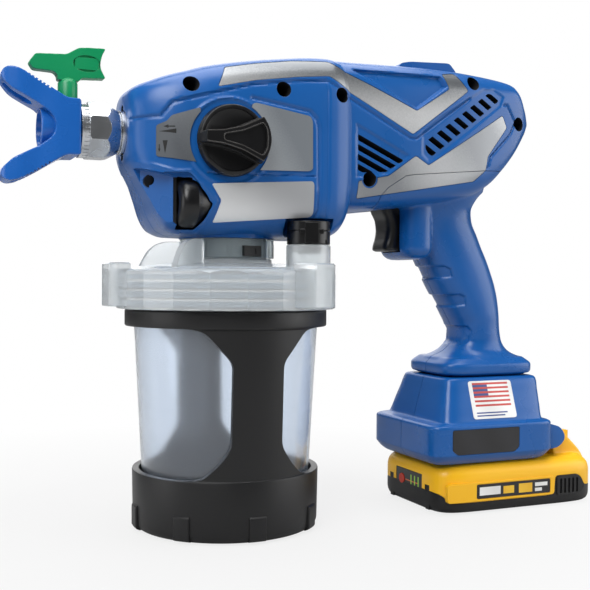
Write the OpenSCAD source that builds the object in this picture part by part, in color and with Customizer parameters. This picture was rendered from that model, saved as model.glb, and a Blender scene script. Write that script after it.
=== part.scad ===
// Handheld airless paint sprayer: piston-pump gun on a screw-on cup, with a slide-in battery under the grip.
// Millimetres. Z up, Z = 0 is the ground under the cup and the battery; the cup's axis is X = Y = 0.
// The nozzle points along -X, the grip is on the +X side, and the knobs are on the left side, -Y.

/* [Cup] */
// Outer radius of the cup holder's top ring
cup_top_r = 55.6; // [50:0.1:66]
// Outer radius of the cup holder's foot
cup_foot_r = 50.8; // [44:0.1:60]
// Height of the holder's top ring above the ground
cup_h = 118; // [98:1:142]
// Wall of the cup holder
holder_wall = 2.4; // [1.8:0.1:3.2]
// Width of each of the holder's two upright straps
strap_w = 27.4; // [20:0.1:34]
// Height of the holder's closed foot band
foot_band_h = 32; // [24:1:40]
// Number of lugs round the foot
foot_lugs = 8; // [4:1:12]
// Wall of the clear liner
liner_wall = 1; // [0.8:0.1:1.6]

/* [Lid] */
// Height of the lid's screw skirt
lid_skirt_h = 21.5; // [17:0.5:26]
// Number of flats round the skirt
lid_flats = 20; // [12:1:28]
// Reach of the three grip ears beyond the skirt
ear_reach = 7; // [4:0.5:9]
// Outer radius of the lid's neck
neck_r = 22; // [19:0.5:24]
// Height of the lock collar
collar_h = 10; // [8:0.5:13]
// Outer radius of the air valve's port
port_r = 11.9; // [9:0.1:13]
// Height of the air valve's cap
valve_cap_h = 12; // [9:0.5:12.5]

/* [Housing] */
// Length of the housing from nose face to rear face
housing_l = 245; // [205:1:295]
// Height of the housing
housing_h = 101; // [92:1:121]
// Width of the housing over the pump
housing_w = 77; // [72:1:92]
// Wall of the moulded shells
shell_wall = 2.6; // [2:0.1:3.2]
// Number of louvres in the long rear vent
rear_vents = 9; // [5:1:9]
// Width of one louvre slot
vent_w = 3.4; // [2.4:0.1:3.8]
// Depth of the recess above the stripe, on both sides
recess_depth = 1.5; // [0.8:0.1:1.6]

/* [Controls] */
// Radius of the prime and spray knob
knob_r = 18.7; // [15:0.1:20]
// Thickness of the knob's disc
knob_disc_t = 4.4; // [3:0.1:6]
// Height of the knob's pointer
pointer_h = 8; // [5:0.5:10]
// Radius of the speed dial
dial_r = 12.9; // [10:0.1:13.5]
// Travel of the trigger
trigger_travel = 6; // [4:0.5:7]
// Width of the trigger
trigger_w = 20; // [16:0.5:22]

/* [Nozzle] */
// Height of the nozzle's axis above the ground at the standard cup height
nozzle_z = 211.5; // [205:0.5:218]
// Distance between opposite flats of the guard nut
nut_flats = 28.6; // [24:0.2:32]
// Radius of the spray tip's barrel
tip_barrel_r = 5.1; // [4:0.1:6]
// Width of the tip guard's wings
guard_w = 27; // [22:0.5:32]
// Distance from the nozzle's axis to the end of each wing
guard_reach = 29.5; // [26:0.5:34]

/* [Grip] */
// Width of the grip
grip_w = 34; // [29:0.5:40]
// Width of the battery adapter's base
base_w = 76; // [70:1:88]
// Height of the battery adapter above the battery
adapter_h = 49; // [44:1:58]

/* [Battery] */
// Length of the battery pack
battery_l = 112; // [106:1:134]
// Width of the battery pack
battery_w = 73; // [66:1:84]
// Height of the pack below the adapter
battery_h = 28.3; // [25:0.1:34]
// Height of the black lower tray's side
tray_h = 7; // [5:0.5:9]

/* [Hidden] */
$fn = 96;

// Clearances
fit = 0.06;
gap = 0.3;
loose = 0.5;
eps = 0.01;

function lerp(a, b, t) = a + (b - a) * t;

// ---- shared shapes ----

// A cylinder along X from x0 to x1
module rod_x(x0, x1, r, r2 = -1) {
    translate([x0, 0, 0]) rotate([0, 90, 0]) cylinder(h = x1 - x0, r1 = r, r2 = r2 < 0 ? r : r2);
}

// An outline in X and Z, extruded along Y from y0 to y1
module plate_xz(outline, y0, y1) {
    translate([0, y1, 0]) rotate([90, 0, 0]) linear_extrude(y1 - y0) polygon(outline);
}

// A rounded rectangle centred on the origin
module rounded_rect(l, w, r) {
    offset(r) square([l - 2 * r, w - 2 * r], center = true);
}

// A block between two corners
module block(a, b) {
    translate(a) cube(b - a);
}

// Points of a superellipse outline with half-sizes a and b and roundness n
function signed_power(v, p) = sign(v) * pow(abs(v), p);
function superellipse(a, b, n, k) = [for (i = [0:k - 1]) let (t = 360 * (i + 0.5) / k)
    [a * signed_power(cos(t), 2 / n), b * signed_power(sin(t), 2 / n)]];

// A closed skin through rings of equal length
module skin(rings) {
    k = len(rings[0]);
    last = len(rings) - 1;
    sides = [for (i = [0:last - 1]) for (j = [0:k - 1])
        let (a = i * k + j, b = i * k + (j + 1) % k, c = a + k, d = b + k)
        each [[a, c, b], [b, c, d]]];
    caps = [for (j = [1:k - 2]) each [[0, j, j + 1], [last * k, last * k + j + 1, last * k + j]]];
    polyhedron([for (r = rings) each r], concat(sides, caps));
}

// A coil spring about the X axis, from X = 0, as an unbroken tube
module coil(r, wire_r, l, turns) {
    steps = 10;
    last = turns * steps;
    skin([for (i = [0:last]) let (a = 360 * i / steps, x = wire_r + (l - 2 * wire_r) * i / last)
        [for (t = [0:72:288]) let (q = r + wire_r * sin(t)) [x + wire_r * cos(t), q * cos(a), q * sin(a)]]]);
}

// ---- heights and places that the pieces share ----

lid_z = cup_h + 0.5;
lid_top = lid_z + lid_skirt_h;
lid_r = cup_top_r + 4.9;
collar_z = lid_top + 6.2;
collar_top = collar_z + collar_h;
housing_z = collar_top + gap;

std_housing_z = 156.5;
std_h = 101;
std_l = 245;
std_w = 77;
function hx(x) = x * housing_l / std_l;
function hz(z) = housing_z + (z - std_housing_z) * housing_h / std_h;
function hy(y) = y * housing_w / std_w;

axis_z = hz(nozzle_z);
grip_shift = hx(150) - 150;
function gx(x) = x + grip_shift;

neck_bore_r = 11.5;
port_at_r = lid_r - port_r - 0.5;
port_angle = -43.3;
port_x = port_at_r * cos(port_angle);
port_y = port_at_r * sin(port_angle);
port_top = lid_top + 13.2;
valve_cap_z = port_top + gap;
valve_pocket_r = port_r + 2.1;
valve_pocket_top = valve_cap_z + valve_cap_h + 2;

knob_x = hx(-11);
knob_z = hz(205.5);
knob_y = -housing_w / 2 - 0.4;

dial_x = hx(-33.5);
dial_y = hy(-26);
dial_z = hz(173.5);
dial_l = 19;

// ---- cup ----

holder_floor = 3.5;
holder_edge_r = 4;
neck_h = 16;
holder_neck_r = cup_top_r - 1.2;
liner_z = holder_floor + eps;
liner_top_z = cup_h + neck_h;
liner_rim_t = 1.2;
liner_top_r = holder_neck_r - holder_wall - gap;
liner_foot_r = cup_foot_r - holder_wall - 1.8;

module holder_wall_profile() {
    polygon([
        [0, 0], [cup_foot_r - holder_edge_r, 0], [cup_foot_r - 1.2, 1.2], [cup_foot_r, holder_edge_r],
        [cup_foot_r + 0.5, foot_band_h - 1.2], [cup_foot_r - 0.4, foot_band_h],
        [cup_top_r - 1, cup_h - 9], [cup_top_r, cup_h - 8], [cup_top_r, cup_h - 0.6],
        [cup_top_r - 0.6, cup_h], [holder_neck_r, cup_h], [holder_neck_r, cup_h + neck_h],
        [holder_neck_r - holder_wall, cup_h + neck_h], [holder_neck_r - holder_wall, cup_h - 9],
        [cup_foot_r - holder_wall - 0.8, foot_band_h], [cup_foot_r - holder_wall - 1.2, 8],
        [cup_foot_r - holder_wall - 3.4, holder_floor], [0, holder_floor]
    ]);
}

// The opening between the straps on the +X side, in X and Z
module holder_window() {
    half = strap_w / 2;
    low = foot_band_h;
    high = cup_h - 8.6;
    flare = 16;
    plate_xz([[half, low + flare + 0.6], [half + 5, low + 9], [half + 12.5, low + 1], [half + 18, low],
        [cup_top_r + 9, low], [cup_top_r + 9, high], [half + 18, high], [half + 13.5, high - 1.6],
        [half, high - flare - 1.6]], -cup_top_r - 5, cup_top_r + 5);
}

module cup_holder() {
    lug_w = 9;
    lug_h = 20;
    color("#1c1c1e") {
        difference() {
            rotate_extrude() holder_wall_profile();
            holder_window();
            mirror([1, 0, 0]) holder_window();
        }
        for (i = [0:2])
            translate([0, 0, cup_h + 2.6 + 4.8 * i])
                rotate_extrude() polygon([[holder_neck_r - 0.5, -1.3], [holder_neck_r + 2, -0.5],
                    [holder_neck_r + 2, 0.5], [holder_neck_r - 0.5, 1.3]]);
        for (i = [0:foot_lugs - 1])
            rotate(360 * i / foot_lugs - 90) intersection() {
                translate([cup_foot_r - 3, -lug_w / 2, 1.5]) cube([4.6, lug_w, lug_h]);
                cylinder(h = 60, r = cup_foot_r + 1.3);
            }
    }
}

module cup_liner() {
    out_foot = liner_foot_r;
    out_top = liner_top_r;
    round_r = 5;
    color("#e9edf0", 0.5) rotate_extrude() polygon([
        [0, liner_z], [out_foot - round_r, liner_z], [out_foot - 1.4, liner_z + 1.4],
        [out_foot, liner_z + round_r], [out_top, liner_top_z], [holder_neck_r, liner_top_z + eps],
        [holder_neck_r, liner_top_z + liner_rim_t], [out_top - liner_wall, liner_top_z + liner_rim_t],
        [out_foot - liner_wall, liner_z + round_r], [out_foot - liner_wall - 1.2, liner_z + 2.2],
        [out_foot - round_r, liner_z + liner_wall], [0, liner_z + liner_wall]
    ]);
}

// ---- lid ----

lid_bore_r = holder_neck_r + 2.3;
gasket_z = liner_top_z + liner_rim_t + gap;
gasket_t = 1.4;
lid_under = gasket_z + gasket_t + eps;

module lid_gasket() {
    color("#8f9aa3") translate([0, 0, gasket_z]) difference() {
        cylinder(h = gasket_t, r = holder_neck_r);
        translate([0, 0, -1]) cylinder(h = gasket_t + 2, r = liner_top_r - liner_wall);
    }
}

module flat_sided_disc(r, h) {
    linear_extrude(h) polygon([for (i = [0:lid_flats - 1]) let (a = 360 * (i + 0.5) / lid_flats)
        [r * cos(a), r * sin(a)]]);
}

// One grip ear of the skirt, reaching out along +X
module lid_ear() {
    ear_h = lid_skirt_h + 1.6;
    reach = lid_r + ear_reach;
    translate([0, 0, lid_z + 1.4]) linear_extrude(ear_h)
        polygon([[lid_r - 3, -14], [lid_r - 1.5, -13.5], [reach, -9], [reach, 9], [lid_r - 1.5, 12],
            [lid_r - 3, 12]]);
}

// One of the lid's upright grip fins, along +X
module lid_fin() {
    fin_r0 = neck_r + 5;
    fin_r1 = lid_r - 5.5;
    plate_xz([[fin_r0, lid_top], [fin_r0, collar_top - 0.6], [fin_r0 + 12, collar_top - 0.6],
        [fin_r1 - 8, collar_top - 4], [fin_r1 - 2, collar_top - 10], [fin_r1, lid_top]], -1.6, 1.6);
}

module cup_lid() {
    neck_wall = 2.5;
    tube_wall = 2;
    shoulder = 3;
    color("#eef0ef", 0.7) difference() {
        union() {
            intersection() {
                translate([0, 0, lid_z]) flat_sided_disc(lid_r, lid_skirt_h);
                translate([0, 0, lid_z]) cylinder(h = lid_skirt_h, r1 = lid_r + 9, r2 = lid_r - 0.8);
            }
            for (a = [60, 180, 300]) rotate(a) lid_ear();
            translate([0, 0, lid_top - eps]) cylinder(h = shoulder, r1 = lid_r - 6, r2 = neck_r + 13);
            translate([0, 0, lid_top]) cylinder(h = 5.6, r = neck_r + 3);
            translate([0, 0, lid_top]) cylinder(h = collar_top - lid_top, r = neck_r);
            for (a = [41.5, 138.5, 221.5]) rotate(a) lid_fin();
            translate([port_x, port_y, lid_top - 6]) cylinder(h = port_top - lid_top + 6, r = port_r);
        }
        translate([0, 0, lid_z - 1]) cylinder(h = lid_under - lid_z + 1, r = lid_bore_r);
        translate([0, 0, lid_top - 10]) cylinder(h = 60, r = neck_bore_r);
        translate([0, 0, lid_top + 4]) difference() {
            cylinder(h = 40, r = neck_r - neck_wall);
            translate([0, 0, -1]) cylinder(h = 42, r = neck_bore_r + tube_wall);
        }
        translate([port_x, port_y, lid_top - 4]) cylinder(h = 40, r = port_r - 2.4);
        translate([port_x, port_y, lid_top - 12]) cylinder(h = 12, r = 2.5);
    }
}

module inlet_strainer() {
    strainer_r = 10.5;
    strainer_l = 16;
    z = lid_under - strainer_l;
    color("#d8dadc") difference() {
        union() {
            translate([0, 0, z]) cylinder(h = strainer_l - gap, r1 = strainer_r - 2.5, r2 = strainer_r);
            translate([0, 0, lid_under - gap - 1.6]) cylinder(h = 1.6, r = strainer_r + 3);
        }
        translate([0, 0, z + 1.2]) cylinder(h = strainer_l, r1 = strainer_r - 3.8, r2 = strainer_r - 1.3);
        for (i = [0:5]) rotate(30 * i)
            block([-strainer_r - 1, -1.3, z + 3], [strainer_r + 1, 1.3, lid_under - 5]);
    }
}

// ---- lock collar and air valve ----

collar_wall = 4.1;
collar_r = neck_r + fit + collar_wall;

module lock_collar() {
    color("#c9d3d6", 0.45) translate([0, 0, collar_z]) difference() {
        cylinder(h = collar_h, r = collar_r);
        translate([0, 0, -1]) cylinder(h = collar_h + 2, r = neck_r + fit);
        for (i = [0:11]) rotate(30 * i + 15)
            translate([collar_r - 0.7, -1.5, -1]) cube([2, 3, collar_h + 2]);
    }
}

module lock_tab() {
    tab_w = 10.5;
    tab_h = 5.8;
    color("#151515") rotate(-79) difference() {
        translate([collar_r - 2, -tab_w / 2, collar_z + 0.4]) cube([3.8, tab_w, tab_h]);
        cylinder(h = 400, r = collar_r);
        translate([collar_r + 1.2, -2, collar_z + 1.8]) cube([3, 4, 3]);
    }
}

module air_valve_seal() {
    color("#5b7d92") translate([port_x, port_y, port_top - 3.4]) difference() {
        cylinder(h = 2.2, r = port_r - 2.4 - fit);
        translate([0, 0, -1]) cylinder(h = 5, r = 6);
    }
}

module air_valve_cap() {
    plug_l = 5;
    plug_r = 5.7;
    cap_r = port_r - 0.3;
    color("#141415") translate([port_x, port_y, valve_cap_z]) {
        difference() {
            union() {
                cylinder(h = valve_cap_h * 0.56, r = cap_r);
                translate([0, 0, valve_cap_h * 0.56 + 0.5]) cylinder(h = valve_cap_h * 0.44 - 0.5, r = cap_r);
                cylinder(h = valve_cap_h - 1, r = cap_r - 0.8);
            }
            for (a = [0:60:300]) rotate(a) translate([cap_r - 0.6, -0.6, -1]) cube([2, 1.2, 3]);
        }
        translate([0, 0, -plug_l]) cylinder(h = plug_l + 1, r = plug_r);
        rotate(-105) {
            translate([cap_r - 1.5, -3.6, 0.6]) cube([2.6, 7.2, valve_cap_h - 1.4]);
            translate([cap_r - 2.2, -6.4, valve_cap_h * 0.45]) cube([2.4, 12.8, 2.2]);
        }
    }
}

// ---- housing ----

// Each station is [x, bottom, top, half width, roundness]
pump_stations = [for (s = [
    [-58.8, 195.5, 230.5, 15.5, 4], [-57.4, 192.8, 233, 19.5, 4], [-53.5, 186, 235.6, 24.6, 4.4],
    [-49, 176.5, 237.4, 28.4, 4.8], [-44.5, 166, 239.2, 31.2, 5], [-40, 159.8, 240.8, 33.4, 5],
    [-32, 157.2, 243.2, 35.6, 5], [-20, 157, 246.8, 37.4, 5], [0, 157, 251, 38.3, 5],
    [20, 157, 254.2, 38.5, 5], [40, 157, 256.6, 38.5, 5], [49, 157.3, 257, 38, 5],
    [55, 159, 256.6, 36.6, 4.6], [59, 162.5, 255, 34.4, 4.2], [62, 168, 252, 31.6, 4]])
    [hx(s[0]), hz(s[1]), hz(s[2]), hy(s[3]), s[4]]];
motor_stations = [for (s = [
    [50, 173, 256.8, 33.4, 5], [70, 173.4, 257.2, 33.5, 5], [90, 175.4, 257.8, 33.4, 5],
    [110, 178, 258.2, 33, 5], [130, 180.8, 258, 32.4, 5], [146, 184.6, 257.2, 31.4, 5],
    [157, 190.5, 256.4, 30.2, 5], [166, 199, 255.4, 29, 5], [173, 207, 254, 27.6, 5],
    [178, 213.6, 250.6, 26, 4.6], [182, 220, 242, 24, 4.2], [186, 227, 233.6, 20, 4]])
    [hx(s[0]), hz(s[1]), hz(s[2]), hy(s[3]), s[4]]];
section_points = 20;

// The rings of a housing loft, drawn in by inset on every side and at both ends
function housing_rings(stations, inset) = [for (i = [0:len(stations) - 1])
    let (s = stations[i], h = (s[2] - s[1]) / 2 - inset, z = (s[1] + s[2]) / 2,
        x = s[0] + (i == 0 ? inset : i == len(stations) - 1 ? -inset : 0))
    [for (p = superellipse(s[3] - inset, max(h, 0.5), s[4], section_points)) [x, p[0], z + p[1]]]];

module housing_form(inset) {
    skin(housing_rings(pump_stations, inset));
    skin(housing_rings(motor_stations, inset));
}

// The sunk field above the stripe's V, on both sides
top_recess = [[64.2, 249.8], [101.7, 232.8], [120.4, 245.6], [118, 250]];

module side_recesses() {
    difference() {
        rotate([90, 0, 0]) linear_extrude(120, center = true) polygon(map_side(top_recess));
        housing_form(recess_depth);
    }
}

// The raised bridge on top of the housing
top_bridge = [[98.5, 250], [99.5, 259.6], [106.5, 261.6], [133, 263.2], [137.2, 258], [138, 250]];

// Where the front lower corners fall back, in plan and in side view
nose_recess_plan = [[-75, -13.5], [-52.5, -13.5], [-38.5, -28.2], [-38.5, -70], [-75, -70]];
dial_relief_plan = [[-39, -28.2], [-38.5, -28.2], [-19, -40], [-19, -70], [-39, -70]];
dial_relief_side = [[-39, 189], [-31.9, 189], [-19.9, 174.8], [-27.5, 158.3], [-29, 150], [-39, 150]];

function map_plan(points, grow = 0) = [for (p = points) [hx(p[0]), hy(p[1]) + grow]];
function map_side(points) = [for (p = points) [hx(p[0]), hz(p[1])]];

module nose_recess(grow = 0) {
    for (side = [0, 1]) mirror([0, side, 0])
        translate([0, 0, hz(140)]) linear_extrude(hz(188.6) - hz(140) + grow)
            polygon(map_plan(nose_recess_plan, grow));
}

// Profile of the dial about its axis, from its outer face in, as [radius, depth]
dial_profile = [[0, 0], [dial_r - 1, 0], [dial_r, 1], [dial_r, 5.5], [dial_r - 1.6, 7.5],
    [dial_r - 2.9, 9.5], [dial_r - 3.8, 11.5], [dial_r - 4.2, 13.5], [dial_r - 4.2, dial_l], [0, dial_l]];

module dial_recess(grow = 0) {
    space = 0.8 + grow;
    intersection() {
        translate([0, 0, hz(140)]) linear_extrude(hz(190) - hz(140) + grow)
            polygon(map_plan(dial_relief_plan, grow));
        rotate([90, 0, 0]) linear_extrude(80) offset(grow) polygon(map_side(dial_relief_side));
    }
    translate([dial_x, dial_y, dial_z]) rotate([0, 90, 0]) rotate_extrude() polygon(concat(
        [[0, -14], [dial_r + space, -14]],
        [for (i = [2:len(dial_profile) - 2]) [dial_profile[i][0] + space, dial_profile[i][1] + space / 2]],
        [[dial_r - 4.2 + space, dial_l + space], [0, dial_l + space]]));
}

module valve_pocket(grow = 0) {
    translate([port_x, port_y, lid_top]) cylinder(h = valve_pocket_top - lid_top + grow,
        r = valve_pocket_r + grow);
}

// Parting line between the housing above and the grip below, with the region under it
parting_gap = 0.3;
parting = [[78.9, 160], [78.9, 174.6], [80.1, 181.9], [84, 186.4], [94.7, 193.4], [100, 194.4],
    [148.7, 199.2], [161.3, 199.9], [180, 200.2], [180, 140], [78.9, 140]];

// Outlines of the bright trims on the left side
stripe_outline = [[-17.4, 233.4], [3, 238.2], [27, 242], [45.3, 244.1], [99, 216.9], [136.5, 244.5],
    [129, 254.4], [120.3, 253], [123.7, 244.3], [101.4, 230], [53.7, 249.4], [46.5, 252.6],
    [25, 251.2], [5, 248], [-12.3, 244.4]];
panel_outline = [[65.2, 188.9], [76.3, 191.1], [83.8, 192.6], [101, 204.7], [109.5, 199.8],
    [161.6, 232.2], [164.9, 225.4], [150.7, 207.5], [149.4, 199.3], [141.2, 192.5], [65.2, 179.6]];
badge_front = [[-48, 212.4], [-43, 214.6], [-41, 217.4], [-27, 221.8], [-25, 193.6], [-48, 196.6]];
badge_rear = [[0.4, 225.2], [2.6, 226.2], [33.3, 221.3], [34.8, 218.7], [35, 193.3], [33, 192.1],
    [0, 191.2]];
badge_low = [[-21, 183.3], [35, 186.9], [35.9, 185.4], [36, 169.5], [34.3, 167.8], [-19.3, 163.5],
    [-15.6, 174.9]];
badge_outlines = [badge_front, badge_rear, badge_low];
trim_t = 0.7;
trim_inset = 0.15;

// A slice of the housing's left skin inside the outlines, trim_t + extra deep; over lets it stand proud
module left_skin(outlines, grow, extra, over = 0) {
    difference() {
        intersection() {
            housing_form(-over);
            rotate([90, 0, 0]) linear_extrude(80) offset(grow) for (o = outlines) polygon(map_side(o));
        }
        housing_form(trim_t + extra);
    }
}

module around_knob(r) {
    translate([knob_x, 0, knob_z]) rotate([90, 0, 0]) cylinder(h = 90, r = r);
}

screw_places = [[-31, 234], [18.5, 234.6], [53, 234.4], [141, 249.6], [175, 228.5], [72, 190.3],
    [-48, 185]];
screw_head_r = 3.4;
screw_r = 1.85;
screw_head_t = 2.6;
screw_well_r = 4.1;
screw_seat_y = 15;
screw_grip_l = 12;

module at_screws() {
    for (p = screw_places) translate([hx(p[0]), 0, hz(p[1])]) rotate([90, 0, 0]) children();
}

// A slot with round ends, cut through the side wall from Y = 0 to the left
module vent_slot(from, to, w) {
    hull() {
        translate([hx(from[0]), 0, hz(from[1])]) rotate([90, 0, 0]) cylinder(h = 60, r = w / 2, $fn = 8);
        translate([hx(to[0]), 0, hz(to[1])]) rotate([90, 0, 0]) cylinder(h = 60, r = w / 2, $fn = 8);
    }
}

module vents() {
    slope = [cos(30), -sin(30)];
    first = [110.8, 208.6];
    last = [157, 241.4];
    for (i = [0:rear_vents - 1]) {
        t = i / (rear_vents - 1);
        centre = first * (1 - t) + last * t;
        half = 3.4 + 3 * sin(180 * pow(t, 0.8));
        vent_slot(centre - half * slope, centre + half * slope, vent_w);
    }
    for (i = [0:3]) {
        start = [68.5, 213.8 - 6.2 * i];
        vent_slot(start, start + (25 - 6.6 * i) * slope, vent_w);
    }
}

module screw_well() {
    translate([0, 0, screw_seat_y]) cylinder(h = 60, r = screw_well_r, $fn = 16);
    translate([0, 0, -1]) cylinder(h = 60, r = screw_r + 0.35, $fn = 12);
    translate([0, 0, -screw_grip_l])
        cylinder(h = screw_grip_l + 1, r = (screw_r + 0.02) / cos(180 / 12), $fn = 12);
}

module shell_cavity() {
    difference() {
        housing_form(shell_wall);
        nose_recess(shell_wall);
        at_screws() translate([0, 0, -40]) cylinder(h = 80, r = screw_well_r + 1.8, $fn = 12);
    }
}

module motor_ribs() {
    rib_t = 2;
    for (x = [82, 120]) difference() {
        translate([hx(x), -housing_w / 2, hz(170)]) cube([rib_t, housing_w, board_z - gap - hz(170)]);
        translate([0, 0, drive_z]) rod_x(hx(x) - 1, hx(x) + rib_t + 1, motor_r + gap);
    }
}

module housing_outside() {
    difference() {
        union() {
            housing_form(0);
            plate_xz(map_side(top_bridge), -hy(17), hy(17));
            translate([0, 0, housing_z]) cylinder(h = 6, r = neck_r + 4.4);
        }
        nose_recess();
        side_recesses();
        vents();
        mirror([0, 1, 0]) vents();
        translate([0, 0, axis_z]) rod_x(hx(-70), hx(-40), fitting_r + 0.4);
        translate([0, 0, housing_z - 1]) cylinder(h = 12, r = neck_bore_r);
        at_screws() screw_well();
        plate_xz(map_side(parting), -60, 60);
    }
}

module body_shell_right() {
    $fn = 28;
    color("#1559a6") difference() {
        union() {
            difference() {
                housing_outside();
                shell_cavity();
            }
            intersection() {
                motor_ribs();
                housing_form(shell_wall - 0.4);
            }
        }
        plate_xz(map_side(parting), -60, 60);
        block([-400, -100, 0], [400, 0.05, 500]);
    }
}

module body_shell_left() {
    $fn = 28;
    color("#1559a6") difference() {
        union() {
            difference() {
                housing_outside();
                difference() {
                    shell_cavity();
                    dial_recess(shell_wall);
                    valve_pocket(shell_wall);
                }
            }
            intersection() {
                motor_ribs();
                housing_form(shell_wall - 0.4);
            }
        }
        plate_xz(map_side(parting), -60, 60);
        block([-400, -0.05, 0], [400, 100, 500]);
        dial_recess();
        translate([0, dial_y, dial_z]) rod_x(dial_x, pot_x0, dial_shaft_r + 0.5);
        valve_pocket();
        around_knob(11);
        left_skin([stripe_outline, panel_outline], 0, 0.05, 1);
        difference() {
            left_skin(badge_outlines, 0, 0.05, 1);
            around_knob(knob_r + 2.6);
        }
    }
}

module housing_screws() {
    color("#3a3a3c") at_screws() {
        translate([0, 0, screw_seat_y + eps]) cylinder(h = screw_head_t, r = screw_head_r);
        translate([0, 0, -screw_grip_l]) cylinder(h = screw_seat_y + screw_grip_l + 1, r = screw_r);
    }
}

module silver_stripe() {
    color("#b9bbbd") left_skin([stripe_outline], -trim_inset, 0);
}

module side_panel() {
    color("#c3c5c7") difference() {
        left_skin([panel_outline], -trim_inset, 0);
        at_screws() cylinder(h = 60, r = screw_well_r + 1, $fn = 32);
        plate_xz([for (p = parting_line_low) [hx(p[0]), hz(p[1])]], -60, 60);
    }
}

// A thin band along the parting line, which the panel's two halves leave free
parting_line_low = [[78.7, 174], [79.9, 182.1], [83.8, 186.7], [94.6, 193.7], [100, 194.7],
    [148.7, 199.5], [162, 200.2], [162, 199.6], [148.7, 198.9], [100, 194.1], [94.8, 193.1],
    [84.2, 186.1], [80.3, 181.7], [79.1, 174]];

module knob_badges() {
    color("#c3c5c7") difference() {
        left_skin(badge_outlines, -trim_inset, 0);
        around_knob(knob_r + 2.6 + trim_inset);
    }
}

// ---- nozzle ----

fitting_r = 11.6;
fitting_ring_x = hx(-58.8) - 2.2;
fitting_thread_r = 9.2;
nut_x0 = fitting_ring_x - 21.2;
nut_flange_x = nut_x0 + 4.8;
nut_bore_r = fitting_thread_r + fit;
guard_x = nut_x0 - 0.4;
barrel_x = guard_x - 4.8;
barrel_steel_r = 4.2;
fitting_x0 = nut_flange_x + 0.3;
block_x0 = hx(-48);

module outlet_fitting() {
    color("#d5d8db") translate([0, 0, axis_z]) difference() {
        union() {
            rod_x(fitting_ring_x, fitting_ring_x + 5, fitting_r);
            rod_x(fitting_ring_x, block_x0 - eps, fitting_r - 1.4);
            rod_x(fitting_x0, fitting_ring_x + 1, fitting_thread_r);
        }
        rod_x(fitting_x0 - 1, block_x0 + 1, 2.6);
        rod_x(fitting_x0 - 1, fitting_x0 + 5, 5);
    }
}

module guard_nut() {
    corner_r = nut_flats / 2 / cos(22.5);
    end_r = 11.2;
    color("#e2e4e6") translate([0, 0, axis_z]) difference() {
        union() {
            rod_x(nut_x0, nut_flange_x, nut_flats / 2);
            intersection() {
                translate([nut_flange_x - 0.8, 0, 0]) rotate([0, 90, 0]) linear_extrude(16.4)
                    polygon([for (i = [0:7]) let (a = 45 * i + 22.5) corner_r * [cos(a), sin(a)]]);
                rotate([0, 90, 0]) translate([0, 0, nut_flange_x - 2]) rotate_extrude() polygon([
                    [0, 0], [corner_r - 1, 0], [corner_r + 0.5, 3], [corner_r + 0.5, 9],
                    [end_r, 17.6], [0, 17.6]]);
            }
            rod_x(nut_flange_x + 14, fitting_ring_x - gap, end_r);
        }
        rod_x(nut_x0 - 1, fitting_ring_x, nut_bore_r);
        for (i = [0:35]) rotate([10 * i, 0, 0])
            translate([nut_x0 + 1.4, -0.35, nut_flats / 2 - 0.35]) cube([2.6, 0.7, 2]);
    }
}

// Side outline of the guard's upper half, from the nozzle's axis up; x counts back from the guard's rear
guard_side = [[0, 0], [0, 13.8], [-7.5, 13.8], [-13.6, 17.2], [-26, guard_reach - 3.8],
    [-31, guard_reach - 1.2], [-35, guard_reach], [-38.2, guard_reach - 1.2], [-39, guard_reach - 3.8],
    [-37, guard_reach - 7.2], [-31.2, guard_reach - 13.4], [-21.6, 9.8], [-19.4, 9], [-16, 7.4],
    [-12.6, 4.4], [-11, 0]];
wing_angle = 33;
boss_r = 8;
seal_r = 5;

module guard_half_outline() {
    polygon([for (p = guard_side) [guard_x + p[0], p[1]]]);
}

module wing_slot() {
    translate([guard_x - 27.5, 0, guard_reach - 9.6]) rotate([0, wing_angle, 0]) hull() {
        translate([-5, 0, -12]) cylinder(h = 24, r = 3.2, $fn = 32);
        translate([5, 0, -12]) cylinder(h = 24, r = 4.2, $fn = 32);
    }
}

module tip_guard() {
    block_w = 27;
    color("#2166b4") translate([0, 0, axis_z]) difference() {
        union() {
            intersection() {
                rotate([90, 0, 0]) linear_extrude(60, center = true) union() {
                    guard_half_outline();
                    mirror([0, 1, 0]) guard_half_outline();
                }
                translate([0, 0, -60]) linear_extrude(120) polygon([
                    [guard_x + 4, -block_w / 2], [guard_x - 14, -block_w / 2],
                    [guard_x - 30, -guard_w / 2 + 1.4], [guard_x - 36, -guard_w / 2 + 3.6],
                    [guard_x - 40, -guard_w / 2 + 8], [guard_x - 40, guard_w / 2 - 8],
                    [guard_x - 36, guard_w / 2 - 3.6], [guard_x - 30, guard_w / 2 - 1.4],
                    [guard_x - 14, block_w / 2], [guard_x + 4, block_w / 2]]);
            }
            rod_x(guard_x - 1, fitting_x0 - gap, boss_r);
        }
        translate([barrel_x, 0, -10.2]) cylinder(h = 60, r = barrel_steel_r + fit);
        translate([barrel_x, 0, 13.8]) cylinder(h = 30, r = tip_barrel_r + gap + 0.1);
        rod_x(barrel_x, guard_x + 20, seal_r);
        rod_x(barrel_x - 20, barrel_x, 2.6, 2);
        wing_slot();
        mirror([0, 0, 1]) wing_slot();
        for (i = [0:6]) for (s = [0, 1]) mirror([0, 0, s])
            translate([guard_x - 15 - 2.2 * i, -30, 17.3 + 1.33 * i]) rotate([0, wing_angle, 0])
                translate([0, 0, 0.4]) cube([0.9, 60, 2]);
    }
}

module tip_seal() {
    color("#222222") translate([0, 0, axis_z]) difference() {
        rod_x(barrel_x + barrel_steel_r + gap, fitting_x0 - gap, seal_r - eps);
        rod_x(barrel_x, fitting_x0, 1.8);
    }
}

flag_z = axis_z + 26.6;
stem_z = axis_z + 13.8 + gap;

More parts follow.
